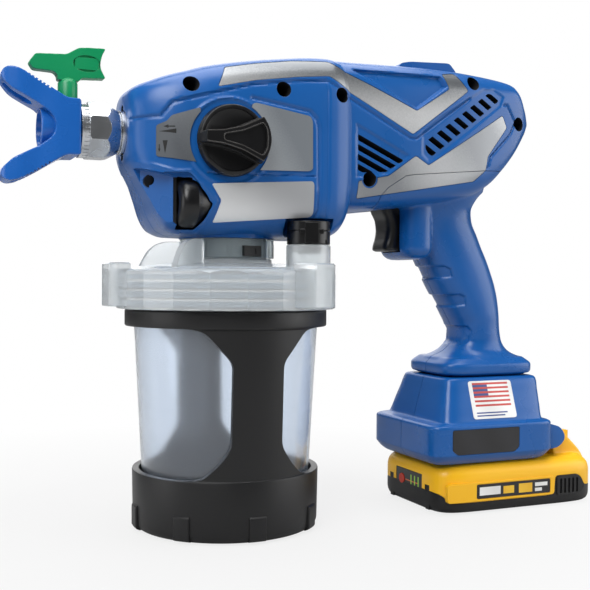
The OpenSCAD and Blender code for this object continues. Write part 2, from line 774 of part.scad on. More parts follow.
module tip_barrel() {
    color("#c8ccd0") translate([barrel_x, 0, axis_z]) difference() {
        translate([0, 0, -9.9]) cylinder(h = stem_z - axis_z + 9.9 - eps, r = barrel_steel_r);
        rod_x(-20, 20, 0.9);
        rotate([0, 90, 0]) cylinder(h = 9, r1 = 0.5, r2 = 3);
    }
}

module spray_tip() {
    flag_t = 6.5;
    color("#12a06b") translate([barrel_x, 0, 0]) {
        translate([0, 0, stem_z]) cylinder(h = flag_z - 1 - stem_z, r = tip_barrel_r);
        translate([0, 0, flag_z - 1]) scale([1, 1, 0.55]) sphere(r = tip_barrel_r);
        difference() {
            plate_xz([for (p = [[-5.1, -1.6], [-5.1, 0.6], [-6.6, 1.8], [-17.5, 2.4], [-19.6, 5.6],
                [-16.2, 10.2], [1.4, 11.4], [4.6, 13.6], [9, 15.2], [14, 15.9], [19.7, 15.9],
                [18.1, 12.4], [17.6, 8.4], [18.4, 4], [19.6, 0.6], [9, -0.3], [5.1, -1.6]])
                [p[0], flag_z + p[1]]], -flag_t / 2, flag_t / 2);
            for (s = [-1, 1]) translate([9.8, s * flag_t / 2, flag_z + 7.6]) scale([1.45, 1, 1])
                rotate([90, 0, 0]) cylinder(h = 2.2, r = 4.9, center = true);
        }
        plate_xz([for (p = [[4.4, 4.4], [15.2, 4.4], [15.2, 10.6], [4.4, 10.6]])
            [p[0], flag_z + p[1]]], -flag_t / 2 + 0.4, flag_t / 2 - 0.4);
    }
}

// ---- pump ----

block_x1 = block_x0 + 60;
block_w = 42;
block_z0 = axis_z - 20.2;
block_z1 = axis_z + 16;
drive_z = knob_z;
piston_r = 4;
piston_circle_r = 11;
piston_x0 = block_x1 - 15;
piston_stroke = 2.3;
piston_x1 = block_x1 + 8;
tube_r = 9;
stem_r = 4;

piston_angles = [90, 210, 330];

module at_piston(i) {
    translate([0, piston_circle_r * cos(piston_angles[i]), drive_z + piston_circle_r * sin(piston_angles[i])])
        children();
}

module pump_block() {
    color("#b4b8bc") difference() {
        block([block_x0, -block_w / 2, block_z0], [block_x1, block_w / 2, block_z1]);
        for (y = [-block_w / 2, block_w / 2]) for (z = [block_z0, block_z1])
            translate([0, y, z]) rotate([45, 0, 0]) block([block_x0 - 1, -3, -3], [block_x1 + 1, 3, 3]);
        for (i = [0:2]) at_piston(i) rod_x(piston_x0 - piston_stroke - 1, block_x1 + 1, piston_r + fit);
        translate([0, 0, axis_z]) rod_x(block_x0 - 1, knob_x, 2.6);
        translate([0, 0, block_z0 - 1]) cylinder(h = 20, r = 5);
        translate([knob_x, 0, knob_z]) rotate([90, 0, 0]) cylinder(h = 40, r = stem_r + fit);
    }
}

module piston(i) {
    color("#dfe2e4") at_piston(i) {
        rod_x(piston_x0, piston_x1, piston_r);
        rod_x(piston_x1 - 2, piston_x1, piston_r + 1.6);
    }
}

module piston_1() {
    piston(0);
}

module piston_2() {
    piston(1);
}

module piston_3() {
    piston(2);
}

module piston_springs() {
    color("#9aa0a4") for (i = [0:2]) at_piston(i)
        translate([block_x1 + 0.05, 0, 0]) coil(piston_r + 1.1, 0.5, piston_x1 - 2 - block_x1 - 0.1, 3);
}

module inlet_tube() {
    color("#c3c7ca") difference() {
        union() {
            translate([0, 0, lid_under + 2]) cylinder(h = block_z0 - lid_under - 2 - eps, r = tube_r);
            translate([0, 0, housing_z + 12.6]) cylinder(h = 3, r = tube_r + 4);
        }
        translate([0, 0, lid_under]) cylinder(h = 200, r = 5);
        translate([0, 0, ring_z]) rotate_extrude() translate([tube_r + 0.2, 0]) square([2, 3], center = true);
    }
}

ring_z = collar_z + 3;

module inlet_o_ring() {
    color("#202020") translate([0, 0, ring_z]) rotate_extrude()
        translate([neck_bore_r - fit - 1.3, 0]) circle(r = 1.3, $fn = 32);
}

module prime_valve_body() {
    y0 = -block_w / 2 - eps;
    color("#c9a24a") translate([knob_x, 0, knob_z]) rotate([90, 0, 0]) difference() {
        union() {
            translate([0, 0, -y0]) cylinder(h = 6, r = 9);
            translate([0, 0, -y0 + 6]) cylinder(h = 5, r = 7.4);
        }
        translate([0, 0, -y0 - 1]) cylinder(h = 20, r = stem_r + fit);
    }
}

module prime_valve_stem() {
    color("#8d9296") translate([knob_x, 0, knob_z]) rotate([90, 0, 0]) difference() {
        translate([0, 0, 12]) cylinder(h = -knob_y + 1.5 - 12, r = stem_r);
        translate([-6, stem_r - 1, -knob_y - 4]) cube([12, 4, 12]);
    }
}

// Pointer of the prime knob in X and Z about its axis, narrow end forward
pointer = [[-18.6, -2.7], [-18.6, 2.7], [-8, 3.6], [2, 6.2], [13.4, 11.6], [17.8, 8], [16.6, 0],
    [17.8, -8], [13.4, -11.6], [2, -6.2], [-8, -3.6]];

module prime_knob() {
    color("#17171a") translate([knob_x, 0, knob_z]) difference() {
        union() {
            translate([0, knob_y, 0]) rotate([90, 0, 0])
                cylinder(h = knob_disc_t, r1 = knob_r, r2 = knob_r - 0.8);
            intersection() {
                plate_xz(pointer, knob_y - knob_disc_t - pointer_h, knob_y - 1);
                translate([0, knob_y, 0]) rotate([90, 0, 0])
                    cylinder(h = knob_disc_t + pointer_h, r1 = knob_r + 3.6, r2 = knob_r - 1.2);
            }
        }
        translate([0, knob_y - 1.5, 0]) rotate([-90, 0, 0]) difference() {
            cylinder(h = 40, r = stem_r + fit);
            translate([-6, -stem_r - 4 + 1 - fit, -1]) cube([12, 4, 3]);
        }
        for (a = [0, 180]) rotate([0, a, 0]) translate([0, knob_y - knob_disc_t, 0])
            rotate([90, 0, 0]) translate([0, 0, -2]) linear_extrude(6) difference() {
                intersection() {
                    circle(r = knob_r - 2.6);
                    translate([-14, 8.6]) square([26, 20]);
                }
                polygon([[-30, 0], [-8, 5.2], [2, 7.8], [22, 19], [40, 0]]);
            }
    }
}

// ---- speed control ----

pot_x0 = dial_x + dial_l + shell_wall + 2.2;
dial_shaft_r = 3;

module speed_control() {
    pot_h = 15;
    color("#2a2f36") difference() {
        union() {
            block([pot_x0, dial_y - 5.6, dial_z - pot_h / 2 + 1.6],
                [pot_x0 + 12, dial_y + 9, dial_z + pot_h / 2]);
            block([pot_x0 + 4, dial_y + 6, dial_z], [pot_x0 + 8, dial_y + 9, block_z0 - gap]);
        }
        translate([0, dial_y, dial_z]) rod_x(pot_x0 - 1, pot_x0 + 8, dial_shaft_r + fit);
    }
}

module speed_dial() {
    color("#19191b") difference() {
        union() {
            translate([dial_x, dial_y, dial_z]) rotate([0, 90, 0]) rotate_extrude() polygon(dial_profile);
            translate([0, dial_y, dial_z]) rod_x(dial_x + dial_l - 1, pot_x0 + 7, dial_shaft_r);
        }
        translate([dial_x - 1, dial_y, dial_z]) rotate([0, 90, 0]) rotate_extrude()
            translate([7.4, 0]) square([3, 1.7]);
    }
}

// ---- drive ----

bell_x0 = block_x1 + gap;
bell_r = 22;
bell_wall = 2.4;
hub_x0 = piston_x1 + gap;
hub_l = 13;
gear_x0 = hub_x0 + hub_l + 4;
gear_l = 20;
motor_r = 22;
motor_x0 = hx(79);
motor_l = 45;
fan_x0 = motor_x0 + motor_l + 2;
fan_l = 11;
fan_r = 20;
shaft_r = 2.5;
drive_shaft_r = 5;
board_z = hz(241.3);

module gearbox() {
    nose_r = 8.4;
    color("#7d8287") translate([0, 0, drive_z]) difference() {
        union() {
            rod_x(bell_x0, gear_x0 + 1, bell_r);
            rod_x(gear_x0, gear_x0 + gear_l, bell_r - 2);
            rod_x(gear_x0 + gear_l - 1, motor_x0 - 3, nose_r);
            rod_x(motor_x0 - 3, motor_x0 - eps, nose_r - 1);
        }
        rod_x(bell_x0 - 1, gear_x0 - 2, bell_r - bell_wall);
        rod_x(gear_x0 - 3, gear_x0 + 12, drive_shaft_r + fit);
        rod_x(gear_x0 + 13, motor_x0 + 1, shaft_r + fit);
    }
}

module drive_hub() {
    tilt = 6;
    color("#9ea3a8") translate([0, 0, drive_z]) difference() {
        union() {
            rod_x(hub_x0 + 2, hub_x0 + hub_l, 10);
            rod_x(hub_x0 + 1, hub_x0 + 6, 17);
            rod_x(hub_x0 + hub_l - 1, gear_x0 + 11, drive_shaft_r);
        }
        translate([hub_x0 + 2, 0, 0]) rotate([0, tilt, 0]) block([-12, -40, -40], [0, 40, 40]);
    }
}

module hub_bearing() {
    color("#c9ccd0") translate([0, 0, drive_z]) difference() {
        rod_x(hub_x0 + hub_l + 0.3, gear_x0 - 2 - eps, 11);
        rod_x(hub_x0, gear_x0, drive_shaft_r + fit);
    }
}

module motor_can() {
    color("#4a4d52") translate([0, 0, drive_z]) difference() {
        rod_x(motor_x0, motor_x0 + motor_l, motor_r);
        rod_x(motor_x0 - 1, motor_x0 + motor_l + 1, shaft_r + fit);
        for (i = [0:5]) rotate([60 * i + 30, 0, 0])
            block([motor_x0 + motor_l - 10, -4, motor_r - 5], [motor_x0 + motor_l - 4, 4, motor_r + 1]);
    }
}

module motor_shaft() {
    color("#cfd3d7") translate([0, 0, drive_z])
        rod_x(gear_x0 + 13.5, fan_x0 + fan_l - 1, shaft_r);
}

module cooling_fan() {
    blades = 9;
    blade_t = 1.4;
    color("#2b2b2e") translate([0, 0, drive_z]) difference() {
        union() {
            rod_x(fan_x0, fan_x0 + 1.6, fan_r);
            rod_x(fan_x0, fan_x0 + fan_l, 6);
            for (i = [0:blades - 1]) rotate([360 / blades * i, 0, 0])
                block([fan_x0 + 1, -blade_t / 2, 5], [fan_x0 + fan_l - 1, blade_t / 2, fan_r - 1]);
        }
        rod_x(fan_x0 - 1, fan_x0 + fan_l + 1, shaft_r + eps);
    }
}

module control_board() {
    color("#1f6b3a") {
        block([hx(76), -19, board_z], [hx(128), 19, board_z + 1.6]);
        translate([hx(90), -8, board_z + 1.6]) cylinder(h = 7, r = 4);
        translate([hx(100), -8, board_z + 1.6]) cylinder(h = 7, r = 4);
        block([hx(108), -14, board_z + 1.6], [hx(122), -2, board_z + 6]);
        block([hx(86), 4, board_z + 1.6], [hx(104), 16, board_z + 4]);
    }
}

// ---- grip ----

adapter_z = battery_h + 0.2;
adapter_top = adapter_z + adapter_h;
flange_z = adapter_top + 3.8;
flange_top = flange_z + 7;
std_flange_top = 88.5;
std_grip_top = 176;
function grip_z(z) = flange_top + (z - std_flange_top) * (hz(std_grip_top) - flange_top)
    / (std_grip_top - std_flange_top);

// Each station is [height, front, rear, half width]
grip_stations = [for (s = [
    [88.5, 131, 189.5, 22.5], [90.5, 137, 184.5, 19.6], [94, 142.8, 180, 17.6], [99, 146.4, 177.2, 16.6],
    [106.5, 145.6, 176, 16.6], [115, 141.3, 175.6, 17], [123, 136, 174.8, 17], [131.3, 130.6, 173, 17],
    [139.5, 126, 170.1, 17], [147, 122, 167, 17], [155, 118, 163, 17], [163, 114, 159.4, 17],
    [170, 110, 156, 17.4], [176.5, 104, 155.2, 18.6], [184, 97, 158.6, 21.6], [190, 92, 164, 26]])
    [grip_z(s[0]), gx(s[1]), gx(s[2]), s[3] * grip_w / 34]];
grip_points = 20;

function grip_rings(inset) = [for (s = grip_stations)
    [for (p = superellipse((s[2] - s[1]) / 2 - inset, s[3] - inset, 2.5, grip_points))
        [(s[1] + s[2]) / 2 + p[0], p[1], s[0]]]];

boss_x0 = gx(99);
boss_x1 = gx(124);
boss_w = trigger_w + 19;
boss_z = grip_z(147);

module grip_boss(inset) {
    r = 7 - inset;
    hull() for (x = [boss_x0 + 7, boss_x1 - 7]) for (y = [-boss_w / 2 + 7, boss_w / 2 - 7]) {
        translate([x, y, boss_z + 7]) sphere(r = r, $fn = 24);
        translate([x, y, hz(182)]) cylinder(h = 2, r = r, $fn = 24);
    }
}

module grip_form(inset) {
    skin(grip_rings(inset));
    grip_boss(inset);
}

// The part of the motor housing that belongs to the grip, below the parting line
module grip_saddle(inset, lift) {
    intersection() {
        housing_form(inset);
        plate_xz([for (p = parting) [hx(p[0]) + (p[0] < 80 ? parting_gap - inset : 0),
            hz(p[1]) + lift]], -60, 60);
    }
}

trigger_x0 = gx(92);
trigger_x1 = gx(112);
trigger_z0 = grip_z(151.8);
trigger_top = hz(179);

module trigger_pocket(grow) {
    half_w = trigger_w / 2 + loose + grow;
    rear = trigger_x1 + trigger_travel + 1 + grow;
    hull() {
        block([trigger_x0 - 3, -half_w, trigger_z0 - loose - grow],
            [rear - 0.8, half_w, trigger_top + loose + grow]);
        block([rear - 0.1, 0.8 - half_w, trigger_z0 - loose - grow],
            [rear, half_w - 0.8, trigger_top + loose + grow]);
    }
}

// A shallow finger pad on the front of the grip, as [x, z, half length, slope]
finger_pads = [[136.8, 138.7, 12, 21.5], [145.2, 122.1, 13, 20], [152.4, 101.7, 11, 27]];

module finger_rests() {
    difference() {
        for (p = finger_pads) translate([gx(p[0]) - 3, 0, grip_z(p[1])]) rotate([90, p[3], 0]) hull() {
            translate([-p[2], 0, 0]) cylinder(h = 80, r = 4.4, center = true, $fn = 20);
            translate([p[2], 0, 0]) cylinder(h = 80, r = 4.4, center = true, $fn = 20);
        }
        skin(grip_rings(0.8));
    }
}

module flange_plate() {
    mid = gx(160);
    translate([mid, 0, flange_z + 1.4]) linear_extrude(2) rounded_rect(63.5, 51, 9);
    hull() {
        translate([mid, 0, flange_z]) linear_extrude(eps) rounded_rect(61, 48.5, 8);
        translate([mid, 0, flange_z + 1.4]) linear_extrude(eps) rounded_rect(63.5, 51, 9);
    }
    hull() {
        translate([mid, 0, flange_z + 3.4]) linear_extrude(eps) rounded_rect(63.5, 51, 9);
        translate([mid, 0, flange_top]) linear_extrude(eps) rounded_rect(56, 44, 9);
    }
    translate([mid, 0, adapter_top + gap]) linear_extrude(flange_z - adapter_top) rounded_rect(57, 45, 8);
}

module above_parting() {
    edge = [for (p = parting) if (p[1] > 170) [hx(p[0]) + (p[0] < 80 ? parting_gap : 0),
        hz(p[1]) - parting_gap]];
    plate_xz(concat([[hx(60), edge[0][1]]], edge, [[hx(180), hz(235)], [hx(60), hz(235)]]), -60, 60);
}

module handle_whole() {
    $fn = 28;
    difference() {
        union() {
            grip_form(0);
            grip_saddle(0, 1);
            flange_plate();
        }
        difference() {
            union() {
                skin(grip_rings(shell_wall));
                grip_boss(shell_wall);
                grip_saddle(shell_wall, 3);
            }
            trigger_pocket(shell_wall);
            block([0, -60, 0], [500, 60, flange_top + 2]);
        }
        trigger_pocket(0);
        above_parting();
        translate([0, 0, switch_z]) rod_x(trigger_x1, switch_x0 + 1, 5);
        finger_rests();
        translate([gx(160), 0, 0]) cylinder(h = flange_top + 4, r = 6, $fn = 24);
    }
}

module handle_shell_left() {
    color("#1559a6") difference() {
        handle_whole();
        block([-400, -0.05, 0], [500, 100, 500]);
        left_skin([panel_outline], 0, 0.05, 1);
    }
}

module handle_shell_right() {
    color("#1559a6") difference() {
        handle_whole();
        block([-400, -100, 0], [500, 0.05, 500]);
    }
}

// ---- trigger ----

switch_x0 = trigger_x1 + trigger_travel + 1.2 + shell_wall;
switch_z = grip_z(166);

module trigger_switch() {
    switch_w = 17;
    color("#33363a") difference() {
        block([switch_x0, -switch_w / 2, switch_z - 9], [switch_x0 + 22, switch_w / 2, switch_z + 9]);
        translate([0, 0, switch_z]) rod_x(switch_x0 - 1, switch_x0 + trigger_travel + 6, 2.6 + fit);
    }
}

module trigger() {
    z0 = trigger_z0;
    z1 = trigger_top;
    h = z1 - z0;
    x0 = trigger_x0;
    color("#161618") {
        intersection() {
            plate_xz([[x0 + 0.4, z1], [x0 + 1.4, z0 + h * 0.84], [x0 + 4, z0 + h * 0.66],
                [x0 + 4.9, z0 + h * 0.46], [x0 + 4.4, z0 + h * 0.28], [x0 + 3, z0 + h * 0.12],
                [x0 + 3.4, z0 + 0.7], [x0 + 6, z0], [trigger_x1, z0], [trigger_x1, z1]],
                -trigger_w / 2, trigger_w / 2);
            translate([0, 0, z0 - 1]) linear_extrude(h + 2) union() {
                translate([x0, -trigger_w / 2 + 4]) square([trigger_x1 - x0, trigger_w - 8]);
                translate([x0 + 4, -trigger_w / 2]) square([trigger_x1 - x0 - 4, trigger_w]);
                for (s = [-1, 1]) translate([x0 + 4, s * (trigger_w / 2 - 4)]) circle(r = 4);
            }
        }
        translate([0, 0, switch_z]) rod_x(trigger_x1 - 0.5, switch_x0 + 4, 2.6);
    }
}

// ---- battery adapter ----

base_x0 = gx(111.5);
base_x1 = gx(196.5);
base_mid = (base_x0 + base_x1) / 2;
ledge_top = adapter_z + 23.5;
slot_w = 38.6;
slot_h = 13.5;
slot_x0 = base_x0 + 10;
rail_w = 44;

module adapter_form() {
    chamfer = 3.5;
    translate([base_mid, 0, adapter_z + chamfer]) linear_extrude(ledge_top - adapter_z - chamfer - 1.4)
        rounded_rect(base_x1 - base_x0, base_w, 7);
    hull() {
        translate([base_mid, 0, adapter_z]) linear_extrude(0.5)
            rounded_rect(base_x1 - base_x0 - 5, base_w - 5, 6);
        translate([base_mid, 0, adapter_z + chamfer]) linear_extrude(0.5)
            rounded_rect(base_x1 - base_x0, base_w, 7);
    }
    hull() {
        translate([base_mid, 0, ledge_top - 2.4]) linear_extrude(1)
            rounded_rect(base_x1 - base_x0, base_w, 7);
        translate([base_mid, 0, ledge_top - 1]) linear_extrude(1)
            rounded_rect(base_x1 - base_x0 - 3, base_w - 3, 6);
    }
    adapter_side();
    for (s = [-1, 1]) translate([base_x1 - 6, s * 25.5, 0]) rotate([90, 0, 0])
        linear_extrude(9, center = true) polygon([[0, adapter_z + 3], [14, adapter_z + 5],
            [18.5, adapter_z + 9], [18.5, adapter_z + 13], [15, adapter_z + 17.5], [0, adapter_z + 20]]);
}

module adapter_whole() {
    $fn = 48;
    difference() {
        adapter_form();
        block([slot_x0, -slot_w / 2, 0], [500, slot_w / 2, adapter_z + slot_h]);
        block([slot_x0, -rail_w / 2, adapter_z + 4.2], [500, rail_w / 2, adapter_z + 9]);
        block([slot_x0 + 6, -14, adapter_z + slot_h - 1], [gx(180), 14, adapter_top - 8]);
        translate([gx(160), 0, adapter_top - 12]) cylinder(h = 20, r = 6);
    }
}

module adapter_shell_left() {
    color("#1559a6") difference() {
        adapter_whole();
        block([-400, -0.05, 0], [500, 100, 500]);
        adapter_label_place(0.05, 0.05);
        sticker_place(0.05, 0.05);
    }
}

module adapter_shell_right() {
    color("#1559a6") difference() {
        adapter_whole();
        block([-400, -100, 0], [500, 0.05, 500]);
    }
}

sticker_lean = atan(9.7 / (adapter_top - ledge_top));

// The label's place on the side band, grown by grow and deep by trim_t + extra
module adapter_label_place(grow, extra) {
    translate([0, -base_w / 2 - 0.3 + trim_t + 0.3 + extra, 0]) rotate([90, 0, 0]) linear_extrude(3)
        offset(grow) polygon([[gx(124), adapter_z + 20.6], [gx(169.6), adapter_z + 20.6],
            [gx(169.6), adapter_z + 8.5], [gx(166.6), adapter_z + 6.3], [gx(127), adapter_z + 6.3],
            [gx(124), adapter_z + 8.5]]);
}

module sticker_place(grow, extra) {
    translate([gx(153.5), -53 / 2 - 4.7, (ledge_top + adapter_top) / 2]) rotate([-sticker_lean, 0, 0])
        translate([0, trim_t + extra, 0]) rotate([90, 0, 0]) linear_extrude(3)
            offset(grow) rounded_rect(28, 21, 2);
}

module adapter_label() {
    color("#141414") intersection() {
        adapter_label_place(-trim_inset, 0);
        block([-400, -base_w / 2, 0], [500, 0, 500]);
    }
}

module origin_sticker() {
    color("#f2f2f2") intersection() {
        sticker_place(-trim_inset, 0);
        adapter_side();
    }
}

// The adapter's sloping left side, without its slots
module adapter_side() {
    hull() {
        translate([gx(155.5), 0, ledge_top - 1]) linear_extrude(1) rounded_rect(71, base_w - 5, 7);
        translate([gx(159.5), 0, adapter_top - 1]) linear_extrude(1) rounded_rect(65.5, 53, 8);
    }
}

terminal_x1 = slot_x0 + 16;

module terminal_block() {
    color("#1b1b1d") {
        block([slot_x0 + gap, -13.6, adapter_z + 2], [terminal_x1, 13.6, adapter_z + slot_h - gap]);
        block([slot_x0 + 6 + gap, -13.6, adapter_z + slot_h - 1],
            [terminal_x1, 13.6, adapter_z + slot_h + 6]);
        for (y = [-9, -3, 3, 9])
            block([terminal_x1 - 1, y - 0.4, adapter_z + 4], [terminal_x1 + 9, y + 0.4, adapter_z + 10]);
    }
}

// ---- battery ----

battery_x0 = base_x0 + 5.5;
battery_x1 = battery_x0 + battery_l;
battery_mid = (battery_x0 + battery_x1) / 2;
tower_x0 = terminal_x1 + 1;
tower_x1 = battery_x1 - 8;
tower_w = 36;
tray_split = tray_h + 0.2;
pack_r = 13;

module pack_outline(inset) {
    translate([battery_mid, 0]) rounded_rect(battery_l - 2 * inset, battery_w - 2 * inset, pack_r - inset);
}

module battery_tray() {
    color("#1d1d1f") {
        difference() {
            union() {
                linear_extrude(tray_h) pack_outline(0.6);
                for (s = [-1, 1]) translate([battery_x1 - 24, s * (battery_w / 2 - 4.6), 0])
                    rotate([90, 0, 0]) linear_extrude(7.8, center = true) offset(2.4) offset(-2.4)
                        polygon([[-8, 2], [15, 2], [16, 10], [12, 17.6], [-8, 17.6]]);
                for (s = [-1, 1]) translate([battery_x0 + 0.4, s * 21 - 2, 1]) cube([4, 4, tray_h + 2]);
            }
            translate([0, 0, 2.4]) linear_extrude(40) pack_outline(3);
            for (s = [-1, 1]) mirror([0, s < 0 ? 1 : 0, 0]) for (i = [0:4])
                translate([battery_x1 - 29 + 3.6 * i, battery_w / 2 - 1.4, 6.4]) cube([1.5, 3, 9.6]);
            translate([0, 0, -1]) linear_extrude(1 + eps) difference() {
                translate([battery_mid, 0]) square([400, 400], center = true);
                pack_outline(3);
            }
        }
        linear_extrude(2.4) pack_outline(3);
    }
}

module battery_case() {
    shell = 2.2;
    color("#f5bd1f") difference() {
        union() {
            translate([0, 0, tray_split]) linear_extrude(battery_h - tray_split - 5) pack_outline(0);
            hull() {
                translate([0, 0, battery_h - 5]) linear_extrude(eps) pack_outline(0);
                translate([0, 0, battery_h - eps]) linear_extrude(eps) pack_outline(4);
            }
            block([tower_x0, -tower_w / 2, battery_h - 1], [tower_x1, tower_w / 2, adapter_z + slot_h - 0.5]);
            block([tower_x0, -rail_w / 2 + 0.5, adapter_z + 4.7], [base_x1 - 4, rail_w / 2 - 0.5,
                adapter_z + 8.5]);
            plate_xz([[base_x1 + 14, battery_h - 6], [base_x1 + 14, adapter_z + slot_h - 0.5],
                [tower_x1 + 1, adapter_z + slot_h - 0.5], [battery_x1 - 0.5, battery_h + 0.5],
                [battery_x1 - 0.5, battery_h - 6]], -24, 24);
        }
        linear_extrude(battery_h - 3) pack_outline(shell);
        for (y = [-9, -3, 3, 9])
            block([tower_x0 - 1, y - 1.2, adapter_z + 1], [tower_x0 + 12, y + 1.2, adapter_z + slot_h]);
        for (s = [-1, 1]) translate([battery_x1 - 24, s * (battery_w / 2 - 1.1), 0])
            rotate([90, 0, 0]) linear_extrude(12, center = true) offset(0.3) offset(2.4) offset(-2.4)
                polygon([[-8, 0], [15, 0], [16, 10], [12, 17.6], [-8, 17.6]]);
        for (s = [-1, 1]) translate([battery_x0 - 1, s * 21 - 2.3, 0]) cube([5.7, 4.6, tray_h + 3.3]);
        block([latch_x - 0.3, -latch_w / 2 - 0.3, battery_h - 3.5],
            [battery_x1 + 5, latch_w / 2 + 0.3, adapter_z + 6]);
        block([battery_x0 - 1, -15.3, 7.4], [battery_x0 + gauge_t, 15.3, 20.4]);
        block([gx(121.8), -battery_w / 2 - 1, 7.6], [gx(194.2), -battery_w / 2 + trim_t, 17.6]);
    }
}

latch_x = battery_x1 - 11;
latch_travel = 3;
latch_w = 26;
gauge_t = 1.2;

module battery_cells() {
    cell_r = 9.1;
    cell_l = 64;
    color("#3f7fb5") for (i = [0:4])
        translate([battery_mid + (i - 2) * (2 * cell_r + 0.6), 0, 2.4 + gap + cell_r])
            rotate([90, 0, 0]) cylinder(h = cell_l, r = cell_r, center = true);
}

module battery_contacts() {
    color("#c98b3a") for (y = [-9, -3, 3, 9]) for (s = [-1, 1])
        block([tower_x0 + 3, y + s * 0.75 - 0.2, adapter_z + 2], [tower_x0 + 11.5, y + s * 0.75 + 0.2,
            adapter_z + 10.9]);
}

module battery_latch() {
    top = adapter_z + 5.4;
    color("#26262a") plate_xz([[latch_x + latch_travel + 0.6, battery_h - 3.2],
        [latch_x + latch_travel + 0.6, top], [battery_x1 - 5.5, top], [battery_x1 + 0.4, battery_h + 0.8],
        [battery_x1 + 0.4, battery_h - 3.2]], -latch_w / 2, latch_w / 2);
}

module latch_spring() {
    color("#aab0b4") translate([latch_x - 0.25, 0, battery_h + 0.8])
        coil(2.4, 0.35, latch_travel + 0.8, 3);
}

module gauge_panel() {
    color("#161616") difference() {
        block([battery_x0 + 0.2, -15, 7.7], [battery_x0 + gauge_t - eps, 15, 20.1]);
        translate([0, gauge_button_y, gauge_button_z]) rod_x(battery_x0 - 1, battery_x0 + 3, 3.3);
    }
}

gauge_button_y = 8.5;
gauge_button_z = 13.9;

module gauge_button() {
    color("#c63a26") translate([0, gauge_button_y, gauge_button_z])
        rod_x(battery_x0 - 0.2, battery_x0 + 0.5, 3);
}

module battery_labels() {
    color("#131313") translate([0, -battery_w / 2, 0])
        block([gx(122), 0, 7.8], [gx(194), trim_t - eps, 17.4]);
}

cup_holder();
cup_liner();
lid_gasket();
cup_lid();
inlet_strainer();
lock_collar();
lock_tab();
air_valve_seal();
air_valve_cap();
body_shell_left();
body_shell_right();
handle_shell_left();
handle_shell_right();
adapter_shell_left();
adapter_shell_right();
housing_screws();
silver_stripe();
side_panel();
knob_badges();
origin_sticker();
adapter_label();
outlet_fitting();
guard_nut();
tip_guard();
tip_seal();
spray_tip();
tip_barrel();
pump_block();
piston_1();
piston_2();
piston_3();
piston_springs();
inlet_tube();
inlet_o_ring();
prime_valve_body();
prime_valve_stem();
prime_knob();
speed_control();
speed_dial();
drive_hub();
hub_bearing();
gearbox();
motor_can();
motor_shaft();
cooling_fan();
control_board();
trigger_switch();
trigger();
terminal_block();
battery_tray();
battery_case();
battery_cells();
battery_contacts();
battery_latch();
latch_spring();
gauge_panel();
gauge_button();
battery_labels();
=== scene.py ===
# %% [markdown]
# Airless paint sprayer: the looks
# --------------------------------
# The sprayer is a blue moulded housing over a black cup, with a metal nozzle in front and a battery
# under its grip. The exact solids arrive as a fixed frame, one object for each real piece. This file
# gives each of them its finish, and puts a finer surface over those whose form flows.

# %% Load the frame
import math

import bmesh
import bpy
import numpy as np
from mathutils import Matrix, Vector


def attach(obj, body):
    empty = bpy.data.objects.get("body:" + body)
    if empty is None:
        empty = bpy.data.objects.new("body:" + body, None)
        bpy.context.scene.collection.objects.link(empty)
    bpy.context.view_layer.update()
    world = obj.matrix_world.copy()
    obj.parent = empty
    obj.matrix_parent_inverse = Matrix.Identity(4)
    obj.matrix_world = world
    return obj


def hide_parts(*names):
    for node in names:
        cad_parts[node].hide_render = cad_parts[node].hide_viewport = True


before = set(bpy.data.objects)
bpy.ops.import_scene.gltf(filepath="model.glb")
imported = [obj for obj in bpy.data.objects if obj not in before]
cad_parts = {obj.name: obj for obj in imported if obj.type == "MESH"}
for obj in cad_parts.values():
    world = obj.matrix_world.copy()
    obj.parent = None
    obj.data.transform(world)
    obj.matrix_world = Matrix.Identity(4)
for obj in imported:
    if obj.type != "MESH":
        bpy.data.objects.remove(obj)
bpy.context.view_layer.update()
MM = 0.001
print("pieces in the frame:", len(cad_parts))

# %% [markdown]
# Camera
# ------
# The tool is seen from its left side, where the knob and the dial are, a little in front of square on
# and at the height of the cup's rim. A long lens keeps the nozzle and the battery at one scale.

# %% Camera
CAMERA_AT = Vector((-177.5, -510.0, 133.0)) * MM
CAMERA_TURN, CAMERA_DOWN, CAMERA_ROLL = map(math.radians, (23.24, 0.74, 0.36))
camera = bpy.data.objects.new("camera", bpy.data.cameras.new("camera"))
bpy.context.scene.collection.objects.link(camera)
camera.data.lens = 59.23
camera.data.sensor_width = 36.0
camera.data.clip_start = 0.01
look = Vector((
    math.sin(CAMERA_TURN) * math.cos(CAMERA_DOWN),
    math.cos(CAMERA_TURN) * math.cos(CAMERA_DOWN),
    -math.sin(CAMERA_DOWN),
))
level = look.to_track_quat("-Z", "Y").to_matrix().to_4x4()
camera.matrix_world = Matrix.Translation(CAMERA_AT) @ level @ Matrix.Rotation(CAMERA_ROLL, 4, "Z")
bpy.context.scene.camera = camera
print("camera", [round(v / MM) for v in CAMERA_AT], "mm")

# %% [markdown]
# Colour and nodes
# ----------------
# A colour is written as the hex value that a screen shows. Shaders work in linear light, so one
# function converts it. Another adds a shader node with its settings and its links in one call, so
# that each material below reads as a short list.

# %% Colour and node helpers
def linear(hex_colour):
    """sRGB hex to linear RGBA: c / 12.92 in the darkest part, else ((c + 0.055) / 1.055) ** 2.4."""
    parts = [int(hex_colour[i:i + 2], 16) / 255 for i in (1, 3, 5)]
    return [c / 12.92 if c <= 0.04045 else ((c + 0.055) / 1.055) ** 2.4 for c in parts] + [1.0]


def add(tree, kind, sockets=None, **settings):
    """Adds a node. settings are its own properties; sockets holds values, or outputs to link."""
    made = tree.nodes.new(kind)
    for name, value in settings.items():
        setattr(made, name, value)
    for name, value in (sockets or {}).items():
        if isinstance(value, bpy.types.NodeSocket):
            tree.links.new(value, made.inputs[name])
        else:
            made.inputs[name].default_value = value
    return made


